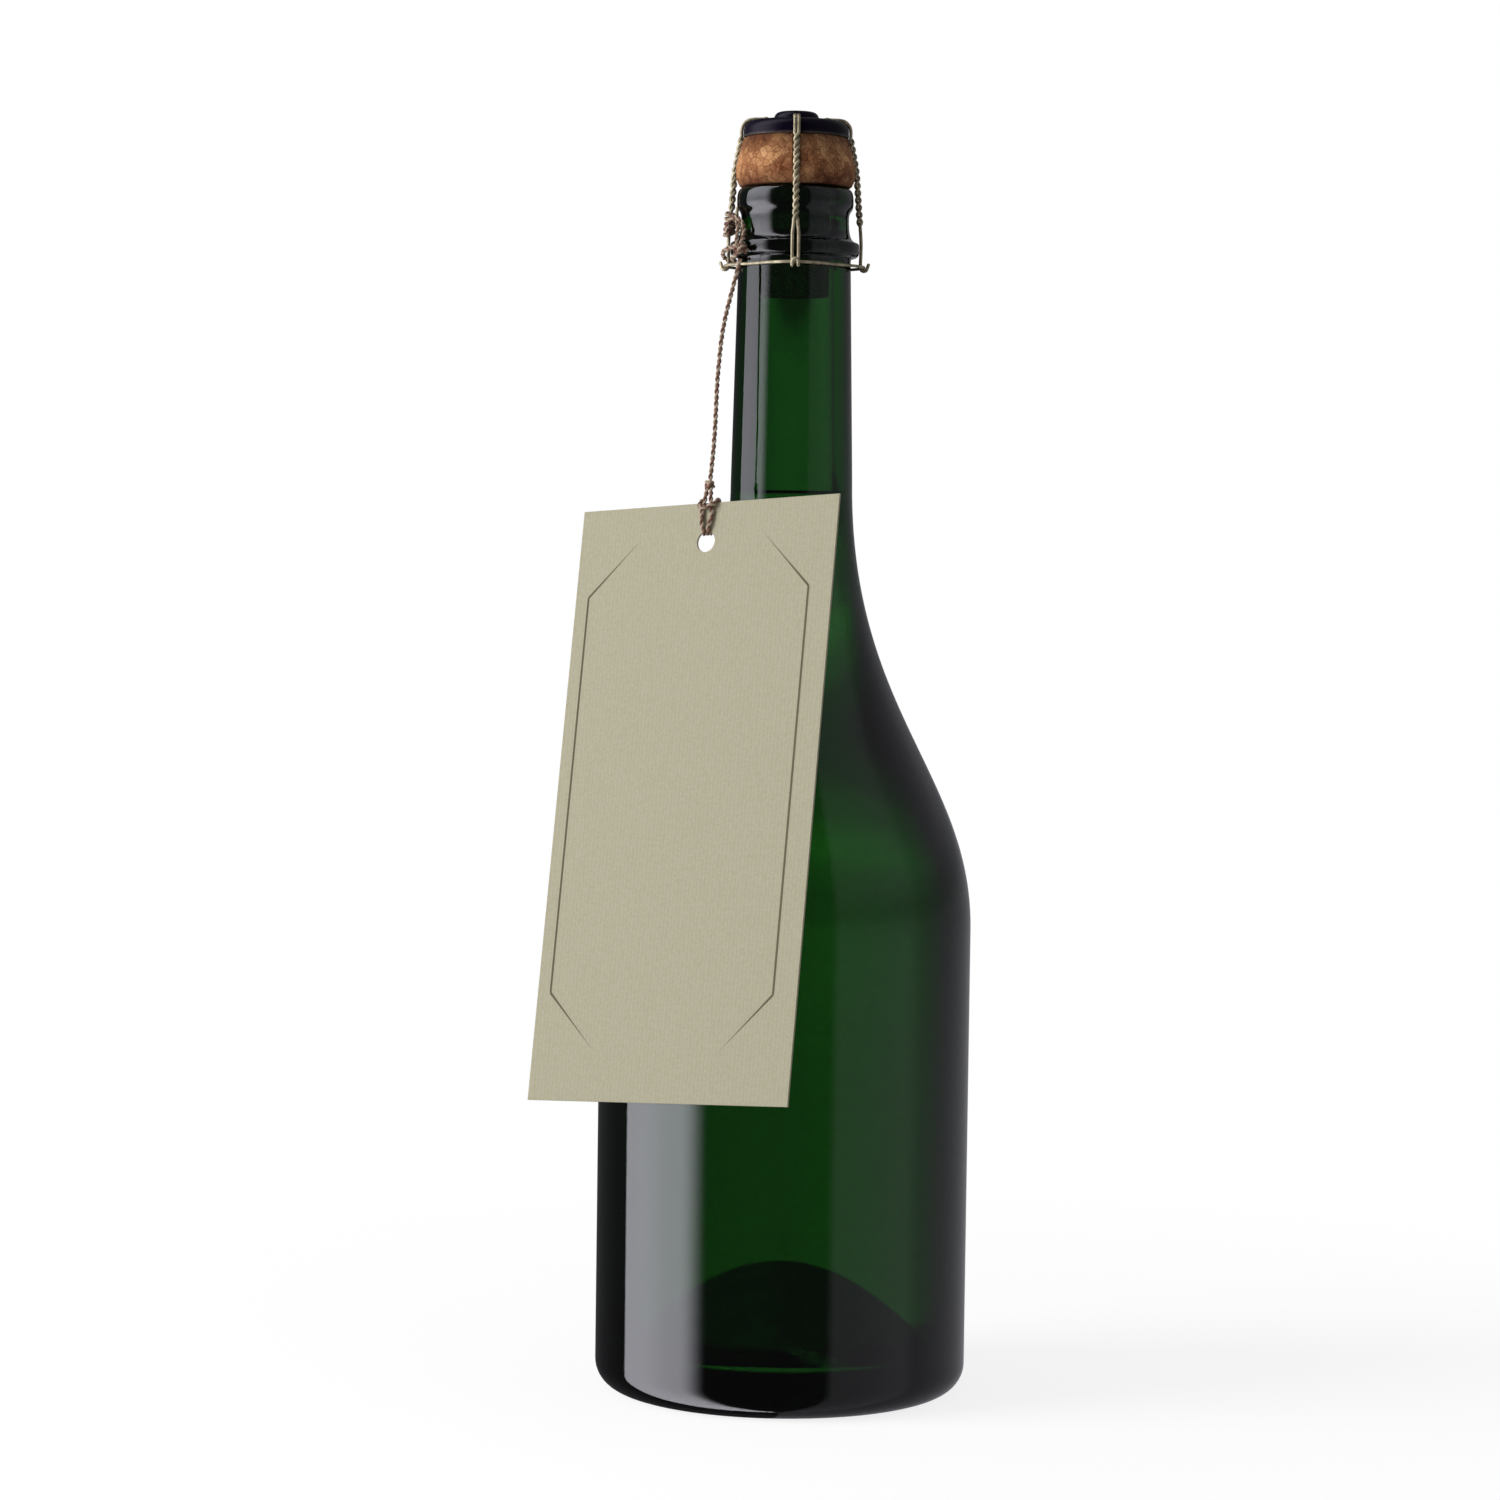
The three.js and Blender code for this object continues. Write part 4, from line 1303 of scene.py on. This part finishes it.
@dataclass
class HangTag:
    """The card tag, which leans on the shoulder of the glass."""

    bottle: GlassBottle
    width: float = 76.0
    height: float = 148.0
    thickness: float = 0.6
    hole_diameter: float = 5.2
    hole_drop: float = 9.8
    hole_facets: int = 48
    yaw: float = 34.6
    lean: float = 12.8
    tilt: float = 3.6
    hole_side: float = -20.8
    hole_height: float = 211.9
    cad_shoulder_steps: int = 12
    edge_round: float = 0.08
    crease: float = 12.0
    card: UncoatedCard = UncoatedCard()

    def __post_init__(self) -> None:
        """Works out the card's place and turn."""
        yaw, lean, tilt = (math.radians(a) for a in (self.yaw, self.lean, self.tilt))
        level = Vector((math.cos(yaw), -math.sin(yaw), 0))
        face = Vector((-math.sin(yaw) * math.cos(lean), -math.cos(yaw) * math.cos(lean), math.sin(lean)))
        along = level * math.cos(tilt) + face.cross(level) * math.sin(tilt)
        glass = self.bottle.outside(self.cad_shoulder_steps)
        shoulder = [p for p in glass if p[1] < self.bottle.neck_base_height]
        reach = max(math.cos(lean) * r + math.sin(lean) * z for r, z in shoulder)
        distance = reach + CLEARANCE + self.thickness / 2
        depth = (distance - face.x * self.hole_side - face.z * self.hole_height) / face.y
        self.hole = Vector((self.hole_side, depth, self.hole_height))
        self.turn = Matrix((along, face.cross(along), face)).transposed()

    def world(self, place: Sequence[float]) -> Vector:
        """Turns a place on the card, from its hole, into one in the frame."""
        return self.hole + self.turn @ Vector(place)

    def build(self) -> None:
        """Cuts the card with its hole and softens its edges."""
        bm = bmesh.new()
        half = self.width / 2
        radius = self.hole_diameter / 2
        top = self.hole_drop
        bottom = top - self.height
        corners = ((-half, bottom), (half, bottom), (half, top), (-half, top))
        rim = [bm.verts.new((x, y, 0)) for x, y in corners]
        edges = [bm.edges.new(pair) for pair in zip(rim, [*rim[1:], rim[0]])]
        ring = bmesh.ops.create_circle(bm, segments=self.hole_facets, radius=radius)["verts"]
        edges += list({e for v in ring for e in v.link_edges})
        bmesh.ops.triangle_fill(bm, use_beauty=True, use_dissolve=False, edges=edges, normal=(0, 0, 1))
        hollow = [f for f in bm.faces if f.calc_center_median().length < radius]
        bmesh.ops.delete(bm, geom=hollow, context="FACES_KEEP_BOUNDARY")
        bmesh.ops.recalc_face_normals(bm, faces=bm.faces)
        pulled = bmesh.ops.extrude_face_region(bm, geom=list(bm.faces))["geom"]
        raised = [v for v in pulled if isinstance(v, bmesh.types.BMVert)]
        bmesh.ops.translate(bm, verts=raised, vec=(0, 0, self.thickness))
        bmesh.ops.translate(bm, verts=bm.verts, vec=(0, 0, -self.thickness / 2))
        bmesh.ops.recalc_face_normals(bm, faces=bm.faces)
        bent = [e for e in bm.edges if e.calc_face_angle(0.0) > CREASE]
        sharp = [e for e in bent if abs(e.verts[0].co.z - e.verts[1].co.z) < self.thickness / 2]
        bmesh.ops.bevel(
            bm, geom=sharp, offset=self.edge_round, segments=2, profile=0.5, affect="EDGES", material=-1
        )
        for vert in bm.verts:
            vert.co = self.world(vert.co) * MM
        card = [self.card.material(self.hole * MM, self.turn, top - self.height / 2)]
        piece = closed_piece(bm, "tag_card", card, math.radians(self.crease))
        settle(piece, Body.TAG, "hang_tag")


@dataclass
class Twine:
    """Two-ply twine: wound round the left leg's eye, knotted, hung to the tag and hitched in its hole."""

    cage: WireCage
    tag: HangTag
    diameter: float = 1.2
    lay: float = 3.0
    step: float = 0.25
    turns: float = 4.5
    turn_points: int = 24
    winding_chords: int = 6
    pitch: float = 1.3
    touch: float = 0.04
    lead: Route = (
        (-16.9, -2.7, 289.4), (-16.3, -3.2, 291.8), (-14.7, -5.4, 292.4), (-12.9, -7.7, 290.4),
        (-12.7, -9.6, 287.8), (-13.3, -11.6, 285.4),
    )
    second_lead: Route = (
        (-15.6, -1.2, 293.4), (-14.9, -2.9, 292.6), (-14.3, -5.2, 291.0), (-14.1, -7.6, 288.8),
        (-14.4, -9.8, 286.7), (-14.2, -11.4, 285.0),
    )
    foot_loop: Route = (
        (-14.3, -11.3, 284.9), (-16.4, -7.2, 284.6), (-17.7, -3.4, 284.0), (-17.8, -0.6, 283.3),
        (-17.2, 1.7, 282.6), (-16.0, 2.2, 282.1), (-14.95, 0.9, 282.0), (-15.0, -1.6, 282.0),
        (-15.4, -4.2, 282.1), (-15.2, -7.4, 282.4), (-14.3, -10.4, 283.2),
    )
    knot_centre: Spot = (-13.4, -12.2, 284.15)
    knot_radius: float = 2.05
    knot_chords: int = 96
    trefoil_reach: float = 2.7
    trefoil_depth: float = 1.6
    route: Route = (
        (-13.5, -12.3, 281.55), (-14.0, -12.7, 279.2), (-14.8, -13.1, 276.0), (-15.9, -13.5, 271.6),
        (-17.0, -13.9, 266.8), (-17.8, -14.3, 261.8), (-18.3, -14.6, 256.6), (-18.7, -15.0, 251.2),
        (-18.9, -15.3, 245.6), (-19.1, -15.6, 240.0), (-19.4, -15.7, 235.0), (-19.8, -15.8, 230.4),
        (-20.2, -16.0, 226.2),
    )
    path_spans: int = 24
    hitch: Route = (
        (0.6, 13.9, 0.95), (0.62, 12.8, 1.0), (0.8, 11.2, 1.05), (1.0, 9.6, 1.0),
        (1.45, 7.2, 1.0), (1.3, 5.2, 1.0), (0.8, 3.3, 1.0), (0.64, 1.9, 0.0),
        (0.8, 3.3, -1.0), (1.2, 6.0, -1.0), (1.9, 8.4, -1.0), (2.3, 9.8, -0.9),
        (2.3, 10.48, 0.0), (2.25, 9.5, 1.0), (1.4, 8.6, 2.1),
    )
    hitch_crossing: Spot = (0.0, 8.3, 2.2)
    hitch_knot: Spot = (0.0, 14.3, 0.9)
    hitch_knot_radius: float = 1.45
    russet: Yarn = Yarn("bast_yarn_russet", "#5f4136", "#977263")
    cream: Yarn = Yarn("bast_yarn_cream", "#998570", "#d4c3ad")

    def __post_init__(self) -> None:
        """Spins the two yarns' finishes."""
        self.yarns = [self.russet.material(), self.cream.material()]

    def laid(self, name: str, *lines: Line) -> Piece:
        """Lays two-ply twine along lines.

        Args:
            name: Name of the piece.
            lines: The lines, in millimetres.

        Returns:
            The piece.
        """
        ply = self.diameter / 4
        plies = [yarn for line in lines for yarn in line.plies(ply, self.lay, self.step)]
        return swept(name, plies, ply, self.yarns)

    def winding_line(self) -> Line:
        """Winds round both strands of the left leg's eye, crosses back over the turns and leads to the knot.

        Returns:
            The line.
        """
        cage = self.cage
        depth = (cage.wire_diameter + self.diameter) / 2 + self.touch
        side = cage.eye_spread + depth
        top = cage.belt_z + cage.wound_eye_length - self.diameter / 2
        points = []
        for i in range(round(self.turn_points * self.turns) + 1):
            angle = TURN * i / self.turn_points
            height = top - self.pitch * i / self.turn_points
            out = cage.leg_radius(height) + depth * math.sin(angle)
            points.append(Vector((-out, side * math.cos(angle), height)))
        return Line.through([*points, *self.lead], self.winding_chords)

    def knot_line(self, centre: Sequence[float], radius: float) -> Line:
        """Ties an overhand knot as one closed trefoil.

        Args:
            centre: Middle of the knot.
            radius: Its outer radius.

        Returns:
            The line.
        """
        size = (radius - self.diameter / 2) / self.trefoil_reach
        points = []
        for i in range(self.knot_chords + 1):
            t = TURN * i / self.knot_chords
            across = math.sin(t) + 2 * math.sin(2 * t)
            along = math.cos(t) - 2 * math.cos(2 * t)
            place = Vector((across, along, -self.trefoil_depth * math.sin(3 * t)))
            points.append(Vector(centre) + place * size)
        return Line(points)

    def hitch_line(self) -> Line:
        """Passes both strands through the hole, with their bight over the top edge and round them."""
        mirrored = [(-x, y, z) for x, y, z in reversed(self.hitch)]
        return Line.through([self.tag.world(p) for p in (*self.hitch, self.hitch_crossing, *mirrored)])

    def build(self) -> None:
        """Lays all the twine."""
        loose = [Line.through(points) for points in (self.second_lead, self.foot_loop)]
        wound = self.laid("twine_winding", self.winding_line(), *loose)
        settle(wound, Body.CAGE, "cord_winding")
        tied = self.laid("twine_knot", self.knot_line(self.knot_centre, self.knot_radius))
        knot = settle(tied, Body.CAGE, "cord_knot")
        line = Line.through(self.route)
        hanging = settle(self.laid("twine_hanging", line), Body.CORD, "tag_cord")
        stopper = self.knot_line(self.tag.world(self.hitch_knot), self.hitch_knot_radius)
        hitched = self.laid("twine_hitch", self.hitch_line(), stopper)
        hitch = settle(hitched, Body.TAG, "tag_loop")
        [line.at(i / self.path_spans) * MM for i in range(self.path_spans + 1)]


@dataclass(frozen=True)
class SoftLamp:
    """A square soft lamp that faces the bottle and shows in no reflection, in metres and watts."""

    name: str
    place: Spot
    side: float
    power: float
    aim: Spot = (0.0, 0.0, 0.17)

    def hang(self) -> None:
        """Hangs the lamp."""
        data = bpy.data.lights.new(self.name, "AREA")
        data.size = self.side
        data.energy = self.power
        lamp = shown(self.name, data)
        lamp.location = self.place
        lamp.rotation_euler = (Vector(self.aim) - Vector(self.place)).to_track_quat("-Z", "Y").to_euler()
        lamp.visible_camera = lamp.visible_glossy = lamp.visible_transmission = False


@dataclass
class Studio:
    """The camera at the photograph's place, the pale floor in metres, and soft light from the left."""

    camera_place: Spot = (-9.46, -1000.0, 203.7)
    pitch: float = 2.492
    roll: float = 0.770
    focal_pixels: float = 3998.7
    picture: float = 1500.0
    sensor: float = 36.0
    clip_start: float = 0.05
    floor_side: float = 8.0
    floor_drop: float = 0.0002
    floor_grey: str = "#e6e5e2"
    shadow_reach: Point = (0.09, 0.4)
    shadow_tone: float = 0.34
    shadow_share: float = 0.5
    lamps: tuple[SoftLamp, ...] = (
        SoftLamp("key_lamp", (-1.75, -0.6, 0.6), 1.2, 36.0),
        SoftLamp("fill_lamp", (0.8, -0.7, 0.5), 0.9, 0.6),
    )
    ambient: float = 0.2
    softbox_tint: str = "#f6f6ff"
    dim: float = 0.06
    backdrop: tuple[Point, ...] = (
        (-0.5, 0.0), (-0.4, 0.32), (-0.33, 0.75), (-0.24, 1.45), (-0.18, 1.0), (-0.15, 0.84),
        (-0.125, 0.86), (-0.1, 1.08), (-0.02, 0.95), (0.02, 0.92), (0.0345, 0.92), (0.039, 0.2),
        (0.06, 0.1),
    )
    flags: tuple[Point, ...] = ((84, 1.0), (105, 0.0), (142, 0.0), (160, 1.0))
    body_side: tuple[Point, ...] = ((-0.2, 1.45), (0.04, 1.0))
    neck_side: tuple[Point, ...] = ((105, 0.0), (130, 1.6), (158, 1.6), (175, 1.0))
    body_share: tuple[Point, ...] = ((-0.07, 1.0), (-0.02, 0.0))
    surround: tuple[Point, ...] = (
        (-114, 0.0), (-112, 3.7), (-90, 5.0), (-66, 5.0), (-47, 0.0), (27, 0.0),
        (34, 0.3), (80, 0.4), (95, 0.24), (150, 0.24),
    )
    surround_height: tuple[Point, ...] = ((-0.15, 1.0), (-0.03, 0.8), (0.08, 0.55), (0.25, 0.8))

    def build_camera(self) -> None:
        """Places the camera and makes it the scene's own."""
        data = bpy.data.cameras.new("studio_camera")
        data.sensor_width = self.sensor
        data.lens = self.focal_pixels / self.picture * self.sensor
        data.clip_start = self.clip_start
        pitch, roll = math.radians(self.pitch), math.radians(self.roll)
        ahead = Vector((0, math.cos(pitch), -math.sin(pitch)))
        level = Vector((1, 0, 0))
        rise = level.cross(ahead)
        right = level * math.cos(roll) + rise * math.sin(roll)
        up = rise * math.cos(roll) - level * math.sin(roll)
        turn = Matrix((right, up, -ahead)).transposed()
        camera = shown("studio_camera", data)
        camera.matrix_world = Matrix.LocRotScale(Vector(self.camera_place) * MM, turn, None)
        bpy.context.scene.camera = camera

    def build_floor(self) -> None:
        """Lays a pale floor that is white to the camera and keeps the bottle's shadow close to it."""
        made, tree, shader, place = new_surface("pale_floor")
        tree.nodes.remove(shader)
        away = add_node(tree, "VectorMath", {0: place}, "Value", operation="LENGTH")
        reach = {"Value": away, "From Min": self.shadow_reach[0], "From Max": self.shadow_reach[1]}
        fall = {"To Min": self.shadow_tone, "To Max": 0.0}
        near = add_node(tree, "MapRange", {**reach, **fall}, interpolation_type="SMOOTHSTEP")
        glow = add_node(tree, "Math", {0: near, 1: -self.shadow_share, 2: 1.0}, operation="MULTIPLY_ADD")
        tone = add_node(tree, "CombineColor", {"Red": near, "Green": near, "Blue": near})
        shade = add_node(tree, "BsdfDiffuse", {"Color": tone})
        light = add_node(tree, "Emission", {"Strength": glow})
        seen = add_node(tree, "AddShader", {0: shade, 1: light})
        plain = add_node(tree, "BsdfDiffuse", {"Color": linear(self.floor_grey)})
        camera = add_node(tree, "LightPath", out="Is Camera Ray")
        both = add_node(tree, "MixShader", {0: camera, 1: plain, 2: seen})
        connect(tree.nodes["Material Output"], {"Surface": both})
        bm = bmesh.new()
        bmesh.ops.create_grid(bm, x_segments=1, y_segments=1, size=self.floor_side / 2)
        bmesh.ops.translate(bm, verts=bm.verts, vec=(0, 0, -self.floor_drop))
        floor = closed_piece(bm, "studio_floor", [made])
        floor.visible_glossy = floor.visible_transmission = False

    def build_world(self) -> None:
        """Surrounds the bottle: white to the camera, a lit backdrop between dark flags through the glass."""
        world = bpy.data.worlds.new("studio")
        bpy.context.scene.world = world
        world.use_nodes = True
        tree = world.node_tree
        ray = add_node(tree, "LightPath").node.outputs
        place = add_node(tree, "TexCoord", out="Generated")
        way = add_node(tree, "SeparateXYZ", {"Vector": place}).node.outputs
        toward = add_node(tree, "Math", {0: way["Y"], 1: -1.0}, operation="MULTIPLY")
        turn = add_node(tree, "Math", {0: way["X"], 1: toward}, operation="ARCTAN2")
        bearing = add_node(tree, "Math", {0: turn}, operation="DEGREES")
        mirrored = self.in_reflections(tree, bearing, way["Z"])
        soft = add_node(tree, "Mix", {0: ray["Is Glossy Ray"], 2: self.ambient, 3: mirrored})
        through = self.through_glass(tree, bearing, way)
        clear = add_node(tree, "Mix", {0: ray["Is Transmission Ray"], 2: soft, 3: through})
        level = add_node(tree, "Mix", {0: ray["Is Camera Ray"], 2: clear, 3: 1.0})
        rays = {0: ray["Is Glossy Ray"], 1: ray["Is Transmission Ray"]}
        only = add_node(tree, "Math", rays, operation="SUBTRACT")
        tints = {0: only, 6: linear("#ffffff"), 7: linear(self.softbox_tint)}
        tint = add_node(tree, "Mix", tints, 2, data_type="RGBA")
        connect(tree.nodes["Background"], {"Strength": level, "Color": tint})

    @staticmethod
    def eased(tree: Tree, value: Socket, stops: Sequence[Point]) -> Socket:
        """Eases from level to level as a value passes its stops.

        Args:
            tree: Node tree that takes the nodes.
            value: The value.
            stops: Values in rising order, each with the level there.

        Returns:
            The level.
        """
        first, last = stops[0][0], stops[-1][0]
        top = max(level for _, level in stops)
        share = add_node(tree, "MapRange", {"Value": value, "From Min": first, "From Max": last})
        greys = [((place - first) / (last - first), level / top) for place, level in stops]
        ramp = add_node(tree, "ValToRGB", {"Fac": share}, stops=greys)
        ramp.node.color_ramp.interpolation = "EASE"
        return add_node(tree, "Math", {0: ramp, 1: top}, operation="MULTIPLY")

    def through_glass(self, tree: Tree, bearing: Socket, way: bpy.types.NodeOutputs) -> Socket:
        """Lights the backdrop that shows through the glass, with a dark flag on each side of it.

        Args:
            tree: Node tree of the world.
            bearing: Direction of the ray, in degrees from the camera's side.
            way: Direction of the ray, by axis.

        Returns:
            The light's level.
        """
        aside = add_node(tree, "Math", {0: bearing}, operation="ABSOLUTE")
        opening = self.eased(tree, aside, self.flags)
        depth = self.eased(tree, way["Z"], self.backdrop)
        side = self.eased(tree, way["X"], self.body_side)
        right = self.eased(tree, bearing, self.neck_side)
        low = self.eased(tree, way["Z"], self.body_share)
        neck = add_node(tree, "Math", {0: opening, 1: right}, operation="MAXIMUM")
        body = add_node(tree, "Math", {0: opening, 1: side}, operation="MULTIPLY")
        spread = add_node(tree, "Mix", {0: low, 2: neck, 3: body})
        return add_node(tree, "Math", {0: depth, 1: spread}, operation="MULTIPLY")

    def in_reflections(self, tree: Tree, bearing: Socket, rise: Socket) -> Socket:
        """Lights what the gloss mirrors: a tall softbox on the left, a dim wall on the right.

        Args:
            tree: Node tree of the world.
            bearing: Direction of the ray, in degrees from the camera's side.
            rise: Upward share of the direction.

        Returns:
            The light's level.
        """
        round_about = self.eased(tree, bearing, self.surround)
        height = self.eased(tree, rise, self.surround_height)
        return add_node(tree, "Math", {0: round_about, 1: height, 2: self.dim}, operation="MULTIPLY_ADD")

    def build(self) -> None:
        """Sets up the whole studio."""
        bpy.context.scene.view_settings.view_transform = "Standard"
        self.build_camera()
        self.build_floor()
        self.build_world()
        for lamp in self.lamps:
            lamp.hang()


def main() -> None:
    """Builds the pieces in order."""
    logging.basicConfig(level=logging.INFO, format="%(name)s: %(message)s")
    Studio().build()
    bottle = GlassBottle()
    cage = WireCage(bottle)
    tag = HangTag(bottle)
    Twine(cage, tag).build()
    tag.build()
    bottle.build_glass()
    bottle.build_wine()
    MushroomCork(cage).build()
    cage.build_cap()
    cage.build_legs()
    cage.build_belt()
    cage.build_key()
    bpy.context.view_layer.update()


if __name__ == "__main__":
    main()
